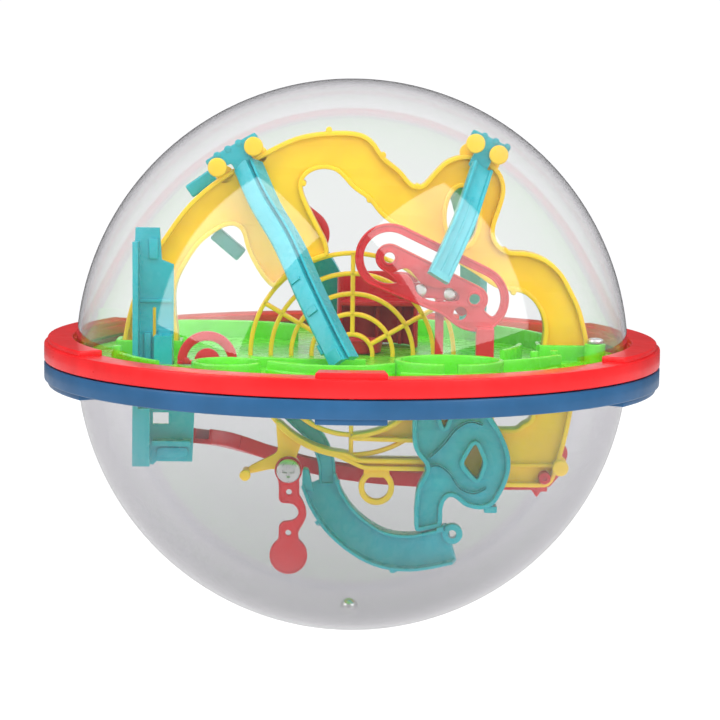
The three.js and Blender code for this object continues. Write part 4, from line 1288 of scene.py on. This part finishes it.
# %% Gate, tower, link, cup and under rail
GATE = (-43.3, 0.8)
GATE_DEPTHS = (-29.4, -27.4)
gate_arch = outline(
    arc_line(*GATE, 9, 0, 180, 0.7), arc_line(*GATE, 6.2, 180, 0, 0.7), step=0.6, ease=1
)
gate = merged(
    flat_plate([gate_arch], *GATE_DEPTHS, 0.35),
    flat_plate([outline(arc_line(*GATE, 3.9, 0, 180, 0.6), step=0.6, ease=1)], *GATE_DEPTHS, 0.35),
    slab((-52.3, -29.4, -0.2), (-34.3, -27.4, 1)),
    disc(-49.6, 0.9, 1, -29.8, -27.2, 0.3),
    disc(-37, 0.9, 1, -29.8, -27.2, 0.3),
)
show("double_gate", gate, RAIL_RED, "red_plastic", "small_gate")

tower_wall = outline(arc_line(8, 24, 13, -15, 195), arc_line(8, 24, 11.4, 195, -15), ease=2)
tower_floor = outline(arc_line(8, 24, 12.6, -15, 195), ease=2)
tower = merged(
    level_plate([tower_wall], -0.2, 23, 0.4),
    level_plate([tower_floor], 13, 14.6, 0.3),
    *[slab((x, 31, -0.2), (x + 1.4, 37.4 - abs(x - 7.3) * 0.3, 12)) for x in (0, 7.3, 14.6)],
)
show("half_round_tower", tower, RAIL_RED, "red_plastic", "rear_tower")

LINK_LOW, LINK_HIGH = (-15.4, 36.5), (-27, 45.5)
lean = math.degrees(math.atan2(LINK_HIGH[1] - LINK_LOW[1], LINK_HIGH[0] - LINK_LOW[0]))
link_loops = [
    outline(
        arc_line(*LINK_LOW, radius, lean + 90, lean + 270),
        arc_line(*LINK_HIGH, radius, lean - 90, lean + 90),
        ease=1,
    )
    for radius in (8, 5.4)
]
link_piece = merged(
    flat_plate(link_loops, 8, 10.4, 0.4),
    flat_plate([outline(ribbon([(-18.2, 31.2), (-12.4, 42)], 2.6), step=0.5, ease=2)], 8, 10.4, 0.3),
    disc(-17, 30.4, 1.6, 1.3, 9),
    disc(-24, 51.5, 1.6, 1.3, 9),
)
show("long_link", link_piece, RAIL_RED, "red_plastic", "rear_link")

cup_corners = [(2.2, 0), (6, 0), (6.6, 4), (5.4, 4), (4.4, 1.6), (2.2, 1.2)]
cup = turned([(r * MM, z * MM) for r, z in rounded(cup_corners, 0.35)], 64, closed=True)
cup.transform(Matrix.Translation((3 * MM, 9 * MM, -0.2 * MM)))
show("round_cup", cup, RAIL_RED, "red_plastic", "centre_cup")

FINGER = [(58.6, -41), (62.4, -42.4), (66.8, -37), (68.4, -31), (67.4, -28.2), (65.6, -30), (63, -36)]
under_line = track_line(
    [(-45.8, -14, -26.4), (-39, 2, -30), (-28, 12, -34.8), (-12, 17, -40.2), (6, 18, -43),
     (26, 17, -44), (46, 13, -43.8), (61, 7.4, -42.8)],
    upwards,
)
under_rail = merged(
    stretch(under_line, 0, 1, channel(6.8, 4.6, 1.4, 1.1)),
    carved(disc(*RED_PIN, 1.9, -5.4, 6, 0.4), boss(*RED_PIN, 0.7, -6, -4.6)),
    slab((58.6, 4.6, -43.4), (62, 7, -36)),
    flat_plate([outline([(56.2, -42), (58.8, -45.6), (61.2, -42)], step=0.4, ease=1)], 6.4, 8.4),
    flat_plate([outline(FINGER, step=0.6)], 4.6, 6.6, 0.4),
    *[
        stretch(under_line, at, at + 0.015, bar(-3.8, 0.6, 3.8, 4.2, 0.3))
        for at in (0.16, 0.42, 0.7)
    ],
)
show("long_under_rail", under_rail, RAIL_RED, "red_plastic", "under_rail")

# %% [markdown]
# ## Swinging arm
# The arm hangs from one screw. It is a thin plate with a raised edge: a round eye, a tab, a hooked neck,
# a second tab and a disc. It is the one track piece that moves by itself.

# %% Swinging arm
ARM_FRONT = -8.6
ARM_BACK = -6.4
ARM = outline(
    arc_line(0, 0, 4.3, -42, 222, 0.5),
    [(-2.95, -4.5), (-2.95, -9.2), (-2.2, -10.2), (-0.7, -10.3)],
    smooth_line([(0.6, -10.3), (1.9, -10.8), (3.3, -12.9), (2.4, -15.1), (0.6, -15.8)]),
    [(-1.6, -16), (-2.8, -17.2), (-2.9, -20.6)],
    arc_line(0.2, -26.7, 5.9, 122, 418, 0.5),
    smooth_line([(3.2, -19.2), (5.2, -15.6), (5.7, -13), (4.8, -10), (3.4, -7.6)]),
    [(3.4, -4)],
    step=0.4, ease=3,
) + np.array(ARM_PIVOT)
arm_holes = [
    arc_line(ARM_PIVOT[0] + x, ARM_PIVOT[1] + z, radius, 0, 345, 0.3)
    for x, z, radius in ((0, 0, 1.6), (0.2, -6.8, 0.9), (0.1, -19.6, 0.9))
]
swing_arm = merged(
    flat_plate([ARM, *arm_holes], ARM_FRONT + 0.3, ARM_BACK, 0.25),
    rim_wall(ARM, ARM_FRONT, ARM_BACK, 0.6),
)
show("hooked_swing_arm", swing_arm, RAIL_RED, "red_plastic", "swing_arm", body=SWING)

# %% [markdown]
# ## Screws
# Each screw is a turned pan head on a shaft, with a cross-shaped recess cut into it. Geometry Nodes put
# the same screw on the six places round the rings, and single ones elsewhere.

# %% Screws
def screw(head, height, shaft, length):
    """A pan-head screw on +Z, with its head's underside at zero."""
    crown = rounded([(head, 0), (head, height * 0.7), (head * 0.55, height), (0, height)], 0.5, 4, False)
    body = turned_mm([(0, -length), (shaft * 0.5, -length), (shaft, shaft - length), (shaft, 0), *crown], 48)
    long, short = head * 0.6, head * 0.16
    cross = [
        (long, -short), (long, short), (short, short), (short, long), (-short, long), (-short, short),
        (-long, short), (-long, -short), (-short, -short), (-short, -long), (short, -long), (short, -short),
    ]
    recess = level_plate([cross], height * 0.45, height + 1, 0)
    for vertex in recess.vertices:
        if vertex.co.z < height * MM:
            vertex.co.x *= 0.7
            vertex.co.y *= 0.7
    return carved(body, recess)


ring_nodes = [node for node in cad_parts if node.startswith("ring_screw")]
ring_boxes = [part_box(node) for node in ring_nodes]
ring_places = [
    ((low.x + high.x) / 2 / MM, (low.y + high.y) / 2 / MM, low.z / MM + 1) for low, high in ring_boxes
]
ring_length = (ring_boxes[0][1].z - ring_boxes[0][0].z) / MM - 1
ring_screws = repeated(screw(1.5, 1, 1, ring_length), ring_places, DOWNWARDS, SCREW_ZINC)
show("ring_screw_set", ring_screws, SCREW_ZINC, "screw_steel", *ring_nodes)

loop_places = beside(LOOP_SCREWS, -19.9)
loop_screws = repeated(screw(1.9, 0.6, 0.9, 3.1), loop_places, TOWARDS_FRONT, SCREW_ZINC)
show("loop_screw_pair", loop_screws, SCREW_ZINC, "screw_steel", "loop_rail_screw_1", "loop_rail_screw_2")

arm_place = beside([ARM_PIVOT], ARM_FRONT - 0.3)
arm_screw = repeated(screw(3.7, 1.8, 1.3, 10.5), arm_place, TOWARDS_FRONT, SCREW_ZINC)
show("arm_pan_screw", arm_screw, SCREW_ZINC, "screw_steel", "swing_arm_screw")

POST = (74.4, -10)
deck_screw = repeated(screw(2.5, 1.4, 1, 4.2), [(*POST, 5.7)], UPWARDS, SCREW_ZINC)
show("deck_pan_screw", deck_screw, SCREW_ZINC, "screw_steel", "deck_screw")

# %% [markdown]
# ## The green deck
# The deck is a thin disc with round holes, clamped between the domes. Low walls with rounded tops wind
# over it. Geometry Nodes turn each drawn line into a wall, so all the walls share one section. Sockets
# hold the arch's feet, and small posts stand beside them.

# %% Deck walls
def wall_tree():
    """Walls of an even, rounded section along the edges of a mesh."""
    sockets = [("Width", "Float"), ("Height", "Float"), ("Material", "Material")]
    tree, given, result = new_tree("wall", sockets)
    make = tree.nodes.new
    curve = make("GeometryNodeMeshToCurve")
    level = make("GeometryNodeSetCurveNormal")
    level.mode = "Z_UP"
    walls = make("GeometryNodeCurveToMesh")
    walls.inputs["Fill Caps"].default_value = True
    wire(
        tree,
        (given, "Geometry", curve, "Mesh"), (curve, "Curve", level, "Curve"),
        (level, "Curve", walls, "Curve"),
    )
    section = wire_section(tree, given.outputs["Width"], given.outputs["Height"])
    tree.links.new(section, walls.inputs["Profile Curve"])
    finish_tree(tree, given, result, walls.outputs["Mesh"])
    return tree


WALL_TREE = wall_tree()
DECK_TOP = -0.5


def deck_wall(line, top=5.0, width=1.5):
    """A wall on the deck along a line of points."""
    base = DECK_TOP - 0.5
    path = bpy.data.meshes.new("line")
    points = [(x * MM, y * MM, (base + top) / 2 * MM) for x, y in line]
    path.from_pydata(points, [(i, i + 1) for i in range(len(points) - 1)], [])
    values = {"Width": width * MM, "Height": (top - base) * MM, "Material": DECK_GREEN}
    return baked(path, WALL_TREE, values)


def post(x, y, radius, top):
    """A small round post on the deck."""
    mesh = turned_mm([(0, -1), *rounded([(radius, -1), (radius, top), (0, top)], 0.4, 3, False)], 24)
    mesh.transform(Matrix.Translation((x * MM, y * MM, 0)))
    return mesh


def oval(x, y, half_width, half_depth, start=-82, end=263):
    """An oval line on the deck between two angles in degrees."""
    angles = np.radians(np.linspace(start, end, 72))
    return np.stack([x + half_width * np.cos(angles), y + half_depth * np.sin(angles)], axis=1)


def socket(left, right):
    """The box-shaped wall round one foot of the arch."""
    corners = [(left, -5), (right, -5), (right, 5), (left, 5), (left, -4)]
    return deck_wall(even_steps(corners, 1.2), 4.2)


# %% The deck
deck_holes = [
    arc_line(28, -57, 4.5, 0, 352), arc_line(-36, -57, 4.2, 0, 352), arc_line(-42, 62, 4.5, 0, 352),
    arc_line(42, 60, 4.5, 0, 352), arc_line(-74, 14, 4.5, 0, 352),
    np.array(bar(-66.1, -27.3, -53.7, -18.7, 0.6)),
]
PLATEAU = [(-26, -59), (-13, -67.4), (2, -68.4), (13, -61), (8, -55), (-10, -54.6), (-22, -55)]
deck = merged(
    level_plate([arc_line(0, 0, 82.2, 0, 359), *deck_holes], -2.5, DECK_TOP),
    level_plate([arc_line(0, 0, 89.6, 0, 359), arc_line(0, 0, 81.6, 0, 359)], -2.1, -0.9),
    socket(-72.3, -53.2),
    socket(57.7, 73.8),
    deck_wall(smooth_line([(-63, 48), (-45, 50), (-28, 47), (-18, 40)])),
    deck_wall(arc_line(0, 0, 64, 18, 78)),
    deck_wall(arc_line(0, 0, 76, -160, -138), 3.6),
    deck_wall(arc_line(-36, -57, 9.5, 20, 340), 4.4),
    deck_wall(oval(28, -57, 15, 12), 5.6),
    deck_wall(smooth_line([(-24, -58), (-12, -66), (2, -67), (12, -60)]), 4.8),
    deck_wall(arc_line(0, 0, 52, -30, -8)),
    deck_wall(smooth_line([(44, -46), (52, -40), (62, -30)]), 4.2),
    level_plate([outline(PLATEAU, ease=8)], -0.8, 2.4, 0.4),
    deck_wall(smooth_line([(14, -70), (28, -73.5), (41, -69)]), 3.4, 1.2),
    deck_wall(smooth_line([(-20, -72), (-8, -74.6), (6, -75)]), 2.4, 1.2),
    deck_wall(smooth_line([(46, -62), (54, -56), (60, -48)]), 2.8, 1.2),
    deck_wall(smooth_line([(-30, -30), (-14, -34), (4, -33)]), 2.6, 1.2),
    *[post(x, y, 1.3, top) for x, y, top in ((55, -23, 4.4), (61, -21, 4.4), (-70, -30, 5.4))],
    carved(post(*POST, 3.2, 5.4), boss_up(*POST, 1.3, 0, 7)),
)
show("walled_deck", deck, DECK_GREEN, "green_plastic", "equator_deck")

# %% [markdown]
# ## The steel ball
# The ball is a true sphere, turned from a half circle, at the lowest point of the lower dome.

# %% Steel ball
low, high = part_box("steel_ball")
ball_radius = (high.z - low.z) / 2
turns = np.linspace(-math.pi / 2, math.pi / 2, 33)
half_circle = [(ball_radius * max(0, math.cos(a)), ball_radius * math.sin(a)) for a in turns]
half_circle[0], half_circle[-1] = (0, -ball_radius), (0, ball_radius)
ball_mesh = turned(half_circle, 64)
ball_mesh.transform(Matrix.Translation((low + high) / 2))
show("polished_ball", ball_mesh, BALL_STEEL, "ball_steel", "steel_ball", body=BALL)
